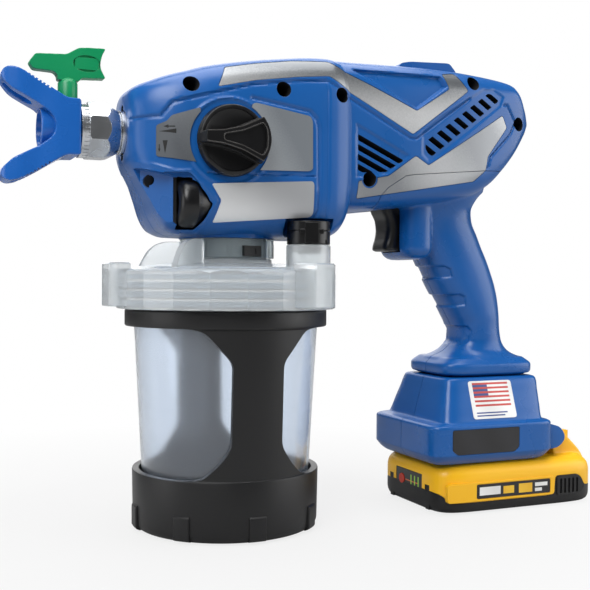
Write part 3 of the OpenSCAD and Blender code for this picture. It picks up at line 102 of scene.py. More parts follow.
def start_material(name, values):
    """A node tree with a Principled shader that has these values, and object coordinates."""
    material = bpy.data.materials.new(name)
    material.use_nodes = True
    tree = material.node_tree
    tree.nodes.clear()
    shader = add(tree, "ShaderNodeBsdfPrincipled", values)
    add(tree, "ShaderNodeOutputMaterial", {"Surface": shader.outputs["BSDF"]})
    place = add(tree, "ShaderNodeTexCoord").outputs["Object"]
    return material, tree, shader, place


# %% [markdown]
# The finish of every part
# ------------------------
# Three things make a plain colour look like a part that was made and handled: its gloss wanders a
# little, its surface has fine marks, and its edges are rounded, so that they catch the light. One
# function links all three, and each kind of material below says how large they are.

# %% Gloss, marks and edges
EDGE_R = 0.35 * MM


def make_surface(tree, shader, handled, marks, rough, drift, depth, edge=EDGE_R, calm=0.3):
    """Roughness goes from rough - drift to rough + drift as the handled noise goes from calm to
    1 - calm. The marks stand up by depth mm, and edges are rounded by the radius edge."""
    gloss = add(tree, "ShaderNodeMapRange", {"Value": handled, "From Min": calm, "From Max": 1 - calm,
        "To Min": rough - drift, "To Max": rough + drift})
    bevel = add(tree, "ShaderNodeBevel", {"Radius": edge}, samples=4)
    bump = add(tree, "ShaderNodeBump", {"Height": marks, "Distance": depth * MM,
        "Normal": bevel.outputs["Normal"]})
    tree.links.new(gloss.outputs["Result"], shader.inputs["Roughness"])
    tree.links.new(bump.outputs["Normal"], shader.inputs["Normal"])


# %% [markdown]
# Moulded plastic
# ---------------
# Most of the sprayer is injection moulded. The steel mould was spark-eroded, which leaves a fine
# even grain on the plastic. Handling polishes that grain unevenly, so the gloss wanders a little over
# a few centimetres, and the colour is a touch paler where the surface is worn. One function makes
# every plastic here from its colour, its gloss and the size of its grain.

# %% Plastic material
WEAR_SIZE = 34 * MM


def plastic(name, colour, rough, grain=0.5, depth=0.012, drift=0.06, edge=EDGE_R):
    """Moulded plastic: grain is the size of the spark texture and depth its height, in mm."""
    material, tree, shader, place = start_material(name, {"IOR": 1.5})
    wear = add(tree, "ShaderNodeTexNoise", {"Vector": place, "Scale": 1 / WEAR_SIZE, "Detail": 5.0})
    fine = add(tree, "ShaderNodeTexNoise", {"Vector": place, "Scale": 1 / (grain * MM), "Detail": 2.0})
    worn = [min(1.0, c * (1 + 2.4 * drift) + 0.02 * drift) for c in linear(colour)[:3]] + [1.0]
    pale = add(tree, "ShaderNodeMix", {"Factor": wear.outputs["Fac"], "A": linear(colour), "B": worn},
        data_type="RGBA")
    tree.links.new(pale.outputs["Result"], shader.inputs["Base Color"])
    make_surface(tree, shader, wear.outputs["Fac"], fine.outputs["Fac"], rough, drift, depth, edge)
    return material


blue_abs = plastic("moulded_abs_blue", "#0b549b", 0.3, grain=0.55, depth=0.012)
black_nylon = plastic("moulded_nylon_black", "#0a0a0c", 0.42, grain=0.5, depth=0.03)
black_soft = plastic("moulded_soft_black", "#050507", 0.3, grain=0.5, depth=0.015, edge=0.6 * MM)
guard_nylon = plastic("moulded_nylon_blue", "#155cae", 0.26, grain=0.5, depth=0.012)
tip_acetal = plastic("moulded_acetal_green", "#068b55", 0.32, grain=0.6, depth=0.012)
yellow_abs = plastic("moulded_abs_yellow", "#f6b815", 0.38, grain=0.45, depth=0.02)
pack_black = plastic("moulded_abs_black", "#0c0c0e", 0.42, grain=0.45, depth=0.03)
switch_nylon = plastic("moulded_nylon_grey", "#33363a", 0.5)
button_red = plastic("moulded_silicone_red", "#b8321f", 0.5)
rubber = plastic("moulded_rubber", "#202022", 0.62, grain=0.8, depth=0.02)
sleeve = plastic("shrunk_pvc_sleeve", "#3f7fb5", 0.25, grain=4.0, depth=0.05)
print("plastics made")

# %% [markdown]
# Clear and milky plastic
# -----------------------
# The liner, the lid and the lock collar are natural polypropylene. It has no dye: light goes in and
# scatters, so a thin wall looks like frosted glass and a thick one like milk. A rough transmission
# with some white scatter under it gives both, and the thread of the lid has one material for its
# thick crests and one for the thin wall between them, whose grey-blue colour is painted shade.

# %% Translucent materials
def milky(name, colour, clear, rough, flow=18.0, depth=0.03, drift=0.08):
    """Natural polypropylene: clear is the share of light that goes straight on, flow the size of
    the faint flow marks in mm."""
    material, tree, shader, place = start_material(name,
        {"Base Color": linear(colour), "IOR": 1.49, "Transmission Weight": clear})
    marks = add(tree, "ShaderNodeTexNoise", {"Vector": place, "Scale": 1 / (flow * MM), "Detail": 3.0})
    flowed = marks.outputs["Fac"]
    make_surface(tree, shader, flowed, flowed, rough, drift, depth, calm=0.0)
    return material


liner_pp = milky("blown_polypropylene_liner", "#e9f0f9", 0.95, 0.13, drift=0.04)
lid_pp = milky("moulded_polypropylene_lid", "#f0f4f6", 0.7, 0.2)
lid_thick = milky("thick_polypropylene_thread", "#fbfcfc", 0.05, 0.3)
# The thin wall between the thread's crests: its grey-blue colour is painted shade for the dark holder behind
# it
lid_root_painted_shade = milky("thin_thread_painted_shade", "#b9c9d6", 0.35, 0.3)
collar_pp = milky("moulded_polypropylene_collar", "#c9d3d6", 0.8, 0.1, drift=0.04)
print("clear plastics made")

# %% [markdown]
# Metals
# ------
# The nut and the outlet fitting are plated and polished, and the fluid parts inside are turned steel,
# cast aluminium and brass. Turning leaves fine rings round the axis, and casting a pebbled skin. Both
# are a bump that is far finer than the piece, so they show as a broken highlight.

# %% Metal material
METAL_EDGE = 0.25 * MM
HANDLED_SIZE = 12 * MM


def metal(name, colour, rough, grain=0.6, depth=0.01, drift=0.05, along=(1, 1, 1)):
    """A metal: grain is the size of the machining or casting marks in mm, and along stretches
    them, so that a small number on one axis draws lines that run along it."""
    material, tree, shader, place = start_material(name, {"Base Color": linear(colour), "Metallic": 1.0})
    stretch = add(tree, "ShaderNodeMapping", {"Vector": place, "Scale": along})
    marks = add(tree, "ShaderNodeTexNoise", {"Vector": stretch.outputs["Vector"],
        "Scale": 1 / (grain * MM), "Detail": 3.0})
    handled = add(tree, "ShaderNodeTexNoise", {"Vector": place, "Scale": 1 / HANDLED_SIZE, "Detail": 4.0})
    make_surface(tree, shader, handled.outputs["Fac"], marks.outputs["Fac"], rough, drift, depth, METAL_EDGE)
    return material


chrome = metal("chrome_plated_steel", "#cdd0d4", 0.26, grain=0.9, depth=0.004)
steel = metal("turned_steel", "#c3c7cb", 0.24, grain=0.5, along=(4, 1, 1))
dark_steel = metal("black_oxide_steel", "#3c3c3f", 0.4)
cast_aluminium = metal("cast_aluminium", "#b4b8bc", 0.46, grain=1.2, depth=0.04)
brass = metal("turned_brass", "#c9a24a", 0.26)
copper = metal("stamped_copper", "#c98b3a", 0.3)
print("metals made")

# %% [markdown]
# Printed labels
# --------------
# The bright trims are a foil film. Its colour goes from light to dark and back in broad bands, a
# painted reflection that makes the foil seem to catch the light, with fine dots in the dark parts.
# The black labels are the same film in one ink, with faint painted bands. All of them have a clear coat.

# %% Label materials
DOT_SIZE = 0.8 * MM


def film_with_painted_sheen(name, light, dark, metallic=0.0, rough=0.3, dot=0.0, fade=26.0, slope=(1.0, 0.0, 0.6)):
    """A film label whose colour goes from light to dark and back over fade mm along slope, as a painted
    reflection in broad bands, with fine dots of strength dot in the dark parts."""
    material, tree, shader, place = start_material(name,
        {"Metallic": metallic, "Roughness": rough, "Coat Weight": 0.3, "Coat Roughness": 0.12})
    # Painted reflection: the colour runs in sine bands along slope, fixed on the label
    turn = add(tree, "ShaderNodeVectorMath", {0: place, 1: slope}, operation="DOT_PRODUCT")
    wave = add(tree, "ShaderNodeMath", {0: turn.outputs["Value"], 1: 2 * math.pi / (fade * MM)},
        operation="MULTIPLY")
    swing = add(tree, "ShaderNodeMath", {0: wave.outputs["Value"]}, operation="SINE")
    shade = add(tree, "ShaderNodeMapRange", {"Value": swing.outputs["Value"], "From Min": -1.0})
    grain = add(tree, "ShaderNodeTexNoise", {"Vector": place, "Scale": 1 / DOT_SIZE, "Detail": 1.0})
    speck = add(tree, "ShaderNodeMath", {0: grain.outputs["Fac"], 1: dot, 2: shade.outputs["Result"]},
        operation="MULTIPLY_ADD")
    ink_and_sheen = add(tree, "ShaderNodeMix", {"Factor": speck.outputs["Value"], "A": linear(light),
        "B": linear(dark)}, data_type="RGBA", clamp_factor=True)
    tree.links.new(ink_and_sheen.outputs["Result"], shader.inputs["Base Color"])
    return material


# The light and dark bands on the foils are a painted reflection
foil = film_with_painted_sheen("foil_film_painted_sheen", "#c4c6c8", "#8b8e92", metallic=0.5, rough=0.34, dot=0.3, fade=85.0)
foil_stripe = film_with_painted_sheen("stripe_film_painted_sheen", "#d8d9da", "#6b6f73", metallic=0.5, rough=0.34, dot=0.3,
    fade=60.0, slope=(0.0, 0.0, 1.0))
black_film = film_with_painted_sheen("printed_black_film", "#121214", "#1c1c20")
white_film = film_with_painted_sheen("printed_white_film", "#f0f0ee", "#e2e2e0")
board = film_with_painted_sheen("soldermask_on_glass_epoxy", "#1f6b3a", "#175430")
print("films made")

# %% Finish for each piece of the frame
finishes = {
    "cup_holder": black_nylon, "cup_liner": liner_pp, "lid_gasket": rubber, "cup_lid": lid_pp,
    "inlet_strainer": steel, "lock_collar": collar_pp, "lock_tab": black_nylon,
    "air_valve_seal": rubber, "air_valve_cap": black_soft, "body_shell_left": blue_abs,
    "body_shell_right": blue_abs, "handle_shell_left": blue_abs, "handle_shell_right": blue_abs,
    "adapter_shell_left": blue_abs, "adapter_shell_right": blue_abs, "housing_screws": dark_steel,
    "silver_stripe": foil_stripe, "side_panel": foil, "knob_badges": foil, "origin_sticker": white_film,
    "adapter_label": black_film, "outlet_fitting": chrome, "guard_nut": chrome,
    "tip_guard": guard_nylon, "tip_seal": rubber, "spray_tip": tip_acetal, "tip_barrel": steel,
    "pump_block": cast_aluminium, "piston_1": steel, "piston_2": steel, "piston_3": steel,
    "piston_springs": steel, "inlet_tube": cast_aluminium, "inlet_o_ring": rubber,
    "prime_valve_body": brass, "prime_valve_stem": steel, "prime_knob": black_soft,
    "speed_control": switch_nylon, "speed_dial": black_soft, "drive_hub": steel,
    "hub_bearing": steel, "gearbox": cast_aluminium, "motor_can": dark_steel, "motor_shaft": steel,
    "cooling_fan": black_nylon, "control_board": board, "trigger_switch": switch_nylon,
    "trigger": black_nylon, "terminal_block": black_nylon, "battery_tray": pack_black,
    "battery_case": yellow_abs, "battery_cells": sleeve, "battery_contacts": copper,
    "battery_latch": pack_black, "latch_spring": steel, "gauge_panel": black_film,
    "gauge_button": button_red, "battery_labels": black_film,
}
for node_name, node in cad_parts.items():
    node.data.materials.clear()
    node.data.materials.append(finishes[node_name])
print("finishes given:", len(finishes))

# %% [markdown]
# Studio
# ------
# The tool stands on a matt floor, which keeps its shadow. Away from the tool the floor goes over to
# plain white for the camera, and so does the world behind it, also where they are seen through the
# clear cup. All other rays meet a dim world, so the plastic keeps its deep colour, and its form shows
# in the reflections of five soft boxes: a key from the upper left front, one from above, one from
# behind, a fill from the right and a small card by the nozzle.

# %% Floor
FLOOR_HALF, FLOOR_Z = 6.0, -0.0006
floor_mesh = bpy.data.meshes.new("floor")
floor_mesh.from_pydata([(-FLOOR_HALF, -FLOOR_HALF, 0), (FLOOR_HALF, -FLOOR_HALF, 0),
    (FLOOR_HALF, FLOOR_HALF, 0), (-FLOOR_HALF, FLOOR_HALF, 0)], [], [(0, 1, 2, 3)])
floor = bpy.data.objects.new("floor", floor_mesh)
floor.location = (0, 0, FLOOR_Z)
bpy.context.scene.collection.objects.link(floor)


def seen_directly(tree):
    """1 for a ray from the camera, straight or through something clear, and 0 for any other."""
    ray = add(tree, "ShaderNodeLightPath")
    return add(tree, "ShaderNodeMath", {0: ray.outputs["Is Camera Ray"],
        1: ray.outputs["Is Transmission Ray"]}, operation="MAXIMUM").outputs["Value"]


paper = bpy.data.materials.new("white_paper")
paper.use_nodes = True
sheet = paper.node_tree
sheet.nodes.clear()
matte = add(sheet, "ShaderNodeBsdfDiffuse", {"Color": linear("#b4b4b4")})
white = add(sheet, "ShaderNodeEmission", {"Color": linear("#ffffff"), "Strength": 1.0})
spot = add(sheet, "ShaderNodeTexCoord").outputs["Object"]
middle = add(sheet, "ShaderNodeVectorMath", {0: spot}, operation="LENGTH")
bleached = add(sheet, "ShaderNodeMapRange", {"Value": middle.outputs["Value"], "From Min": 0.14,
    "From Max": 0.38, "To Min": 0.8, "To Max": 1.0})
share = add(sheet, "ShaderNodeMath", {0: seen_directly(sheet), 1: bleached.outputs["Result"]},
    operation="MULTIPLY")
mixed = add(sheet, "ShaderNodeMixShader", {0: share.outputs["Value"], 1: matte.outputs["BSDF"],
    2: white.outputs["Emission"]})
add(sheet, "ShaderNodeOutputMaterial", {"Surface": mixed.outputs["Shader"]})
floor_mesh.materials.append(paper)
print("floor", 2 * FLOOR_HALF, "m square")

# %% World and soft boxes
DIM_WORLD = 0.12
world = bpy.data.worlds.new("studio")
bpy.context.scene.world = world
world.use_nodes = True
air = world.node_tree
air.nodes.clear()
glow = add(air, "ShaderNodeMapRange", {"Value": seen_directly(air), "To Min": DIM_WORLD, "To Max": 1.0})
sky = add(air, "ShaderNodeBackground", {"Color": linear("#ffffff"), "Strength": glow.outputs["Result"]})
add(air, "ShaderNodeOutputWorld", {"Surface": sky.outputs["Background"]})

AIM = Vector((0.05, 0, 0.13))
# Each row is a name, a place and a side length in metres, and a power in watts
SOFT_BOXES = [
    ("key", (-0.8, -0.8, 1.15), 0.9, 17), ("fill", (1.2, -0.6, 0.4), 1.0, 8),
    ("card", (-1.2, 0.1, 0.3), 0.7, 3), ("top", (0.1, 0.0, 1.3), 1.2, 17),
    ("back", (0.3, 1.3, 0.8), 1.3, 9),
]
for name, at, size, power in SOFT_BOXES:
    lamp = bpy.data.lights.new(name, "AREA")
    lamp.shape = "SQUARE"
    lamp.size = size
    lamp.energy = power
    box = bpy.data.objects.new(name, lamp)
    box.location = at
    box.rotation_mode = "QUATERNION"
    box.rotation_quaternion = (AIM - Vector(at)).to_track_quat("-Z", "Y")
    bpy.context.scene.collection.objects.link(box)
bpy.context.scene.view_settings.view_transform = "Standard"
print("soft boxes:", len(SOFT_BOXES))

# %% [markdown]
# Surfaces from numbers
# ---------------------
# A moulded housing is one flowing skin. It is easiest to describe by its cross sections: at each
# station along the tool the section has a bottom, a top, a half width and a roundness. A smooth curve
# runs through the stations, and a superellipse, which is a rectangle with soft corners, gives the
# section in between. The whole grid of points is worked out at once.

# %% Smooth curve and grid mesh
def through_stations(at, values, x):
    """Piecewise cubic through the stations. The slope at a station is the weighted harmonic mean of
    the two straight slopes beside it, and 0 where they change sign, so it never swings past one."""
    at, values = np.asarray(at, float), np.asarray(values, float)
    run = np.diff(at)
    rise = np.diff(values) / run
    left, right = 2 * run[1:] + run[:-1], run[1:] + 2 * run[:-1]
    same = rise[:-1] * rise[1:] > 0
    safe = np.where(same[:, None], np.stack([rise[:-1], rise[1:]], 1), 1.0)
    mean = (left + right) / (left / safe[:, 0] + right / safe[:, 1])
    slope = np.concatenate([[rise[0]], np.where(same, mean, 0), [rise[-1]]])
    i = np.clip(np.searchsorted(at, x, side="right") - 1, 0, len(at) - 2)
    t = np.clip((x - at[i]) / run[i], 0, 1)
    return ((1 + 2 * t) * (1 - t) ** 2 * values[i] + t * (1 - t) ** 2 * run[i] * slope[i]
        + t * t * (3 - 2 * t) * values[i + 1] + t * t * (t - 1) * run[i] * slope[i + 1])


def mesh_from(name, points, faces, material=None):
    """A piece from points in mm and faces. Its doubles are merged and its faces turned outwards."""
    mesh = bpy.data.meshes.new(name)
    mesh.from_pydata(np.asarray(points, float) * MM, [], [list(map(int, f)) for f in faces])
    work = bmesh.new()
    work.from_mesh(mesh)
    bmesh.ops.remove_doubles(work, verts=work.verts, dist=1e-7)
    bmesh.ops.recalc_face_normals(work, faces=work.faces)
    work.to_mesh(mesh)
    work.free()
    if material:
        mesh.materials.append(material)
    piece = bpy.data.objects.new(name, mesh)
    bpy.context.scene.collection.objects.link(piece)
    return piece


def copied(piece):
    """A second piece with a mesh of its own."""
    twin = piece.copy()
    twin.data = piece.data.copy()
    bpy.context.scene.collection.objects.link(twin)
    return twin


def grid_faces(rows, columns, ring=False, start=0):
    """Quads of a grid of points in row order. ring joins the last column to the first."""
    r, c = np.meshgrid(np.arange(rows - 1), np.arange(columns if ring else columns - 1), indexing="ij")
    a, b = start + r * columns + c, start + r * columns + (c + 1) % columns
    return np.stack([a, b, b + columns, a + columns], -1).reshape(-1, 4)


def ring_loft(name, rings, material=None):
    """A closed skin over rings of points [ring, point, xyz] in mm, with a flat face on each end."""
    rows, columns = rings.shape[:2]
    last = (rows - 1) * columns
    faces = list(grid_faces(rows, columns, ring=True))
    faces += [np.arange(columns)[::-1], last + np.arange(columns)]
    return mesh_from(name, rings.reshape(-1, 3), faces, material)


# %% [markdown]
# Cutting and joining
# -------------------
# Vent slots, screw wells and the parting between the shells are cut with solid shapes, as the steel
# of the mould does it. The cuts are applied at once, so each piece ends as a plain mesh.

# %% Solid cutters
def applied(piece):
    """Bakes the modifiers of a piece into its mesh."""
    graph = bpy.context.evaluated_depsgraph_get()
    baked = bpy.data.meshes.new_from_object(piece.evaluated_get(graph))
    piece.modifiers.clear()
    piece.data = baked
    return piece


def combine(piece, other, how="DIFFERENCE", keep_other=False):
    """Cuts other out of piece, or intersects or joins them. Each face keeps its material, and a
    solid that has none takes the first one of its partner."""
    for bare, dressed in ((other, piece), (piece, other)):
        if not bare.data.materials and dressed.data.materials:
            bare.data.materials.append(dressed.data.materials[0])
    step = piece.modifiers.new("step", "BOOLEAN")
    step.operation, step.object, step.solver, step.material_mode = how, other, "MANIFOLD", "TRANSFER"
    applied(piece)
    if not keep_other:
        bpy.data.objects.remove(other)
    return piece


def side_prism(name, outline, y0, y1, material=None):
    """An outline in X and Z, in mm, carried straight along Y from y0 to y1."""
    flat = np.asarray(outline, float)
    n = len(flat)
    near, far = np.insert(flat, 1, y0, axis=1), np.insert(flat, 1, y1, axis=1)
    sides = [(i, (i + 1) % n, n + (i + 1) % n, n + i) for i in range(n)]
    return mesh_from(name, np.concatenate([near, far]), sides + [range(n), range(n, 2 * n)], material)


def rod(name, start, end, r, steps=64, material=None):
    """A cylinder of radius r from start to end, in mm."""
    start, end = np.array(start, float), np.array(end, float)
    axis = (end - start) / np.linalg.norm(end - start)
    side = np.cross(axis, [0, 0, 1] if abs(axis[2]) < 0.9 else [1, 0, 0])
    side /= np.linalg.norm(side)
    turn = np.arange(steps) * 2 * math.pi / steps
    ring = np.outer(np.cos(turn), side) + np.outer(np.sin(turn), np.cross(axis, side))
    return ring_loft(name, np.stack([start + ring * r, end + ring * r]), material)


def grown(outline, by):
    """An outline with every corner moved outwards so that its sides move by that much."""
    p = np.asarray(outline, float)
    before, after = p - np.roll(p, 1, 0), np.roll(p, -1, 0) - p
    turn = np.sign(np.sum(p[:, 0] * np.roll(p[:, 1], -1) - np.roll(p[:, 0], -1) * p[:, 1]))
    n0, n1 = (np.stack([d[:, 1], -d[:, 0]], 1) / np.linalg.norm(d, axis=1)[:, None] * turn
        for d in (before, after))
    return p + by * (n0 + n1) / (1 + np.sum(n0 * n1, 1))[:, None].clip(0.35)


def rounded(outline, r, steps=5):
    """An outline whose corners are arcs: each corner is a quadratic curve between two points that
    lie r along its sides."""
    p = np.asarray(outline, float)
    ends = []
    for side in (np.roll(p, 1, 0) - p, np.roll(p, -1, 0) - p):
        length = np.linalg.norm(side, axis=1)
        ends.append(p + side / length[:, None] * np.minimum(r, length * 0.45)[:, None])
    a, b = ends
    t = np.linspace(0, 1, steps)[None, :, None]
    return ((1 - t) ** 2 * a[:, None] + 2 * t * (1 - t) * p[:, None] + t * t * b[:, None]).reshape(-1, 2)


def finished(piece, body, node, crisp=35):
    """Smooth faces with crisp edges past an angle, and a place in the frame: the piece rides on a
    body and stands for a node."""
    piece.data.shade_smooth()
    piece.data.set_sharp_from_angle(angle=math.radians(crisp))
    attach(piece, body)
    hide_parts(node)
    print(piece.name, len(piece.data.polygons), "faces")


# %% [markdown]
# Housing
# -------
# The housing holds the pump in its wide front part and the motor in its slimmer rear part. It is
# moulded as a left and a right shell that meet on the middle plane. Each shell is made here from the
# two lofts, which are joined and then cut. Fine steps and grooves are drawn into the skin itself, by
# moving each point of the grid inwards by a depth that depends on how far it is from a line.

# %% Housing sections
# Each row is x, bottom, top, half width and roundness
PUMP = np.array([
    [-58.8, 195.5, 230.5, 15.5, 4], [-57.4, 192.8, 233, 19.5, 4], [-53.5, 186, 235.6, 24.6, 4.4],
    [-49, 176.5, 237.4, 28.4, 4.8], [-44.5, 166, 239.2, 31.2, 5], [-40, 159.8, 240.8, 33.4, 5],
    [-32, 157.2, 243.2, 35.6, 5], [-20, 157, 246.8, 37.4, 5], [0, 157, 251, 38.3, 5],
    [20, 157, 254.2, 38.5, 5], [40, 157, 256.6, 38.5, 5], [49, 157.3, 257, 38, 5],
    [55, 159, 256.6, 36.6, 4.6], [59, 162.5, 255, 34.4, 4.2], [62, 168, 252, 31.6, 4]])
MOTOR = np.array([
    [50, 173, 256.8, 33.4, 5], [70, 173.4, 257.2, 33.5, 5], [90, 175.4, 257.8, 33.4, 5],
    [110, 178, 258.2, 33, 5], [130, 180.8, 258, 32.4, 5], [146, 184.6, 257.2, 31.4, 5],
    [157, 190.5, 256.4, 30.2, 5], [166, 199, 255.4, 29, 5], [173, 207, 254, 27.6, 5],
    [178, 213.6, 250.6, 26, 4.6], [182, 220, 242, 24, 4.2], [186, 227, 233.6, 20, 4]])
KNOB_AT = np.array([-11.0, 205.5])
KNOB_R = 18.7
NOZZLE_Z = 211.5


def line_distance(points, line):
    """Distance of each point from a bent line, as the smallest distance from its straight parts."""
    line = np.asarray(line, float)
    a, d = line[:-1], np.diff(line, axis=0)
    w = points[:, None] - a
    t = np.clip(np.sum(w * d, -1) / np.sum(d * d, -1), 0, 1)
    return np.sqrt(np.min(np.sum((w - t[..., None] * d) ** 2, -1), 1))


def inside(points, outline):
    """True where a point is inside an outline, by counting the sides that a ray up crosses."""
    p = np.asarray(outline, float)
    q = np.roll(p, -1, 0)
    x, z = points[:, :1], points[:, 1:]
    spans = (p[:, 0] > x) != (q[:, 0] > x)
    with np.errstate(divide="ignore", invalid="ignore"):
        height = p[:, 1] + (x - p[:, 0]) / (q[:, 0] - p[:, 0]) * (q[:, 1] - p[:, 1])
    return np.sum(spans & (height > z), 1) % 2 == 1


def step_in(points, outline, soft):
    """1 inside an outline and 0 outside, with a smooth ramp of width soft on its edge."""
    outline = np.asarray(outline, float)
    away = line_distance(points, np.concatenate([outline, outline[:1]]))
    signed = np.where(inside(points, outline), away, -away)
    t = np.clip(signed / soft + 0.5, 0, 1)
    return t * t * (3 - 2 * t)


def groove(points, line, width):
    """1 on a line and 0 half a width away, as a rounded valley."""
    t = np.clip(1 - line_distance(points, line) / (width / 2), 0, 1)
    return t * t * (3 - 2 * t)


# %% Relief of the housing's sides
# Depth in mm by which the side is pushed in, for points given as X and Z
SHOULDER = [[-60, 216.4], [-46, 217.2], [-43, 221], [-40.5, 224.2], [-18.6, 230.3], [1.7, 236], [25, 239.6],
    [43.6, 241.4], [97.5, 214.6], [101.5, 214.4], [137.5, 240.2]]
TOP_RECESS = [[62.5, 250.4], [101.9, 231.6], [121.5, 245.6], [118.5, 251.2]]
VENT_TRIANGLE = [[63.3, 220.2], [96.4, 204.6], [82.6, 193.6], [63.9, 190.8]]
VENT_BAND = [[109.2, 202.6], [105.4, 206], [105.4, 218.6], [116.4, 227.8], [148, 246.4], [156, 247],
    [162.6, 243.6], [160, 237.6], [112.6, 202.8]]
REAR_NOTCH = [[162.6, 238.8], [165.2, 239], [171.8, 229.4], [167.8, 221.8], [152.9, 207.5], [151.2, 201]]
CHIN_RIM = [[-56, 194.2], [-38.5, 189.2], [-31.2, 189.8], [-17.9, 175], [-26.4, 157.5]]
KNOB_FIELD = [[-70, 150], [-70, 216.4], *SHOULDER[1:8], [44.5, 236], [44.5, 150]]
BADGE_EDGE = [[1, 228.6], [33.8, 223.8], [37.4, 220.4], [38.9, 216], [39.3, 172], [36.8, 166.4]]
BADGE_GAP = [[-22.5, 188.7], [36.5, 189.6]]
BEZEL_R, BEZEL_HALF = 22.3, 1.5


def relief_both(p):
    """The recess on top, the two vent fields, the notch at the rear and the line of the shoulder."""
    return (2.6 * step_in(p, TOP_RECESS, 1.2) + 0.8 * step_in(p, VENT_TRIANGLE, 1.1)
        + 0.6 * step_in(p, VENT_BAND, 1.1) + 1.0 * groove(p, REAR_NOTCH, 2.0)
        + 1.0 * groove(p, SHOULDER, 2.4))


def relief_left(p):
    """relief_both with the field of the knob, the lines between its badges, and the raised bezel
    round the knob and rim of the chin."""
    bezel = np.clip(1 - np.abs(np.hypot(*(p - KNOB_AT).T) - BEZEL_R) / BEZEL_HALF, 0, 1)
    return (relief_both(p) + 0.75 * step_in(p, KNOB_FIELD, 1.2)
        + 1.0 * groove(p, BADGE_EDGE, 3.0)
        + 0.8 * groove(p, BADGE_GAP, 1.6)
        - 0.6 * groove(p, CHIN_RIM, 2.4)
        - 0.8 * bezel * bezel * (3 - 2 * bezel))


def housing_loft(name, stations, side, spacing, grow=0.0, relief=None, seam_at=0.04):
    """Half of a housing loft as a closed solid. A row of points goes round the section from the
    bottom to the top by even angles; the radius at an angle is (|cos / w|^n + |sin / h|^n)^(-1/n)."""
    length = stations[-1, 0] - stations[0, 0]
    x = np.linspace(stations[0, 0], stations[-1, 0], int(length / spacing) + 1)
    x = np.unique(np.concatenate([x, np.linspace(x[0], x[0] + 4, 9), np.linspace(x[-1] - 4, x[-1], 9)]))
    low, high, wide, round_n = (through_stations(stations[:, 0], values, x)[:, None]
        for values in stations[:, 1:].T)
    angle = np.linspace(-math.pi / 2, math.pi / 2, int(140 / spacing))[None]
    across, up = np.abs(np.cos(angle)) / (wide + grow), np.abs(np.sin(angle)) / ((high - low) / 2 + grow)
    radius = (across ** round_n + up ** round_n) ** (-1 / round_n)
    y = radius * np.cos(angle)
    z = (low + high) / 2 + radius * np.sin(angle)
    xx = np.broadcast_to(x[:, None], y.shape).copy()
    if relief:
        flat = np.stack([xx.ravel(), z.ravel()], 1)
        facing = np.clip((y / wide - 0.5) / 0.3, 0, 1)
        y = y - relief(flat).reshape(y.shape) * facing
    y[:, [0, -1]] = seam_at
    z[:, 0] += 0.35
    z[:, -1] -= 0.35
    xx[0] -= grow
    xx[-1] += grow
    points = np.stack([xx, side * y, z], -1)
    rows, columns = y.shape
    faces = list(grid_faces(rows, columns))
    i = np.arange(rows - 1) * columns
    seam = np.stack([i, i + columns, i + 2 * columns - 1, i + columns - 1], 1)
    ends = [np.arange(columns), (rows - 1) * columns + np.arange(columns)]
    return mesh_from(name, points.reshape(-1, 3), faces + list(seam) + ends, blue_abs)


def housing_solid(name, side, spacing, grow=0.0, relief=None):
    """The pump's and the motor's loft of one side as one solid, moved outwards by grow."""
    solid = housing_loft(name, PUMP, side, spacing, grow, relief)
    return combine(solid, housing_loft("rear", MOTOR, side, spacing, grow, relief), "UNION")


# %% Cutters of the housing
PARTING = [[78.9, 130], [78.9, 174.6], [80.1, 181.9], [84, 186.4], [94.7, 193.4], [100, 194.4],
    [148.7, 199.2], [161.3, 199.9], [200, 200.4], [200, 130]]
SCREWS = [[-31, 234], [18.5, 234.6], [53, 234.4], [141, 249.6], [175, 228.5], [72, 190.3]]
WELL_R = 4.1
CHIN_Z, CHIN_RISE = 187.2, 0.3
# Near-black walls for slots, wells, bays and holes: painted shade for the dark inside of the tool, which the
# solid shells don't have
painted_shade_inside = plastic("painted_shadow_black", "#05070c", 0.8)


def clipped(outline, point, along, width):
    """The part of a convex outline that lies in a straight strip of a width round a point."""
    kept = [np.array(p, float) for p in outline]
    across = np.array([-along[1], along[0]])
    for sign in (1, -1):
        rooms = [width / 2 - sign * np.dot(q - point, across) for q in kept]
        result = []
        for i, q in enumerate(kept):
            r0, r1 = rooms[i - 1], rooms[i]
            if (r0 < 0) != (r1 < 0):
                t = r0 / (r0 - r1)
                result.append(kept[i - 1] * (1 - t) + q * t)
            if r1 >= 0:
                result.append(q)
        kept = result
    return np.array(kept)


BAND = [[107.4, 209.6], [107.4, 213.2], [150.9, 244.3], [154.4, 244.3], [159.2, 243.4], [158.4, 240.2],
    [112.4, 205.6], [109.8, 205.4]]
TRIANGLE = [[64.6, 215.8], [93.4, 204.4], [92.6, 201.2], [82.4, 194.8], [64.6, 193.6]]
# Each row is an outline, the slots' lean in degrees, width and pitch, the way from one to the next,
# how many there are and a point of the first
VENTS = [(BAND, -31.5, 3.4, 6.95, (0.798, 0.602), 9, (107.2, 210)),
    (TRIANGLE, -24, 3.1, 5.4, (0, -1), 4, (70, 210.6))]


def vent_outlines():
    """The open slots: strips of the band's and of the triangle's outline, with ribs between them."""
    slots = []
    for outline, lean, width, pitch, way, count, first in VENTS:
        along = (math.cos(math.radians(lean)), math.sin(math.radians(lean)))
        for i in range(count):
            slot = clipped(outline, np.array(first) + pitch * i * np.array(way), along, width)
            if len(slot) > 2:
                slots.append(rounded(slot, 0.6, steps=3))
    return slots


CHIN_PLAN = [(-75, 13.5), (-52.5, 13.5), (-38.5, 28.2), (-38.5, 70), (-75, 70)]
CHEEK_AT, CHEEK_OUT = (-48.3, 17.9, 185.4), (-0.724, 0.69, 0)


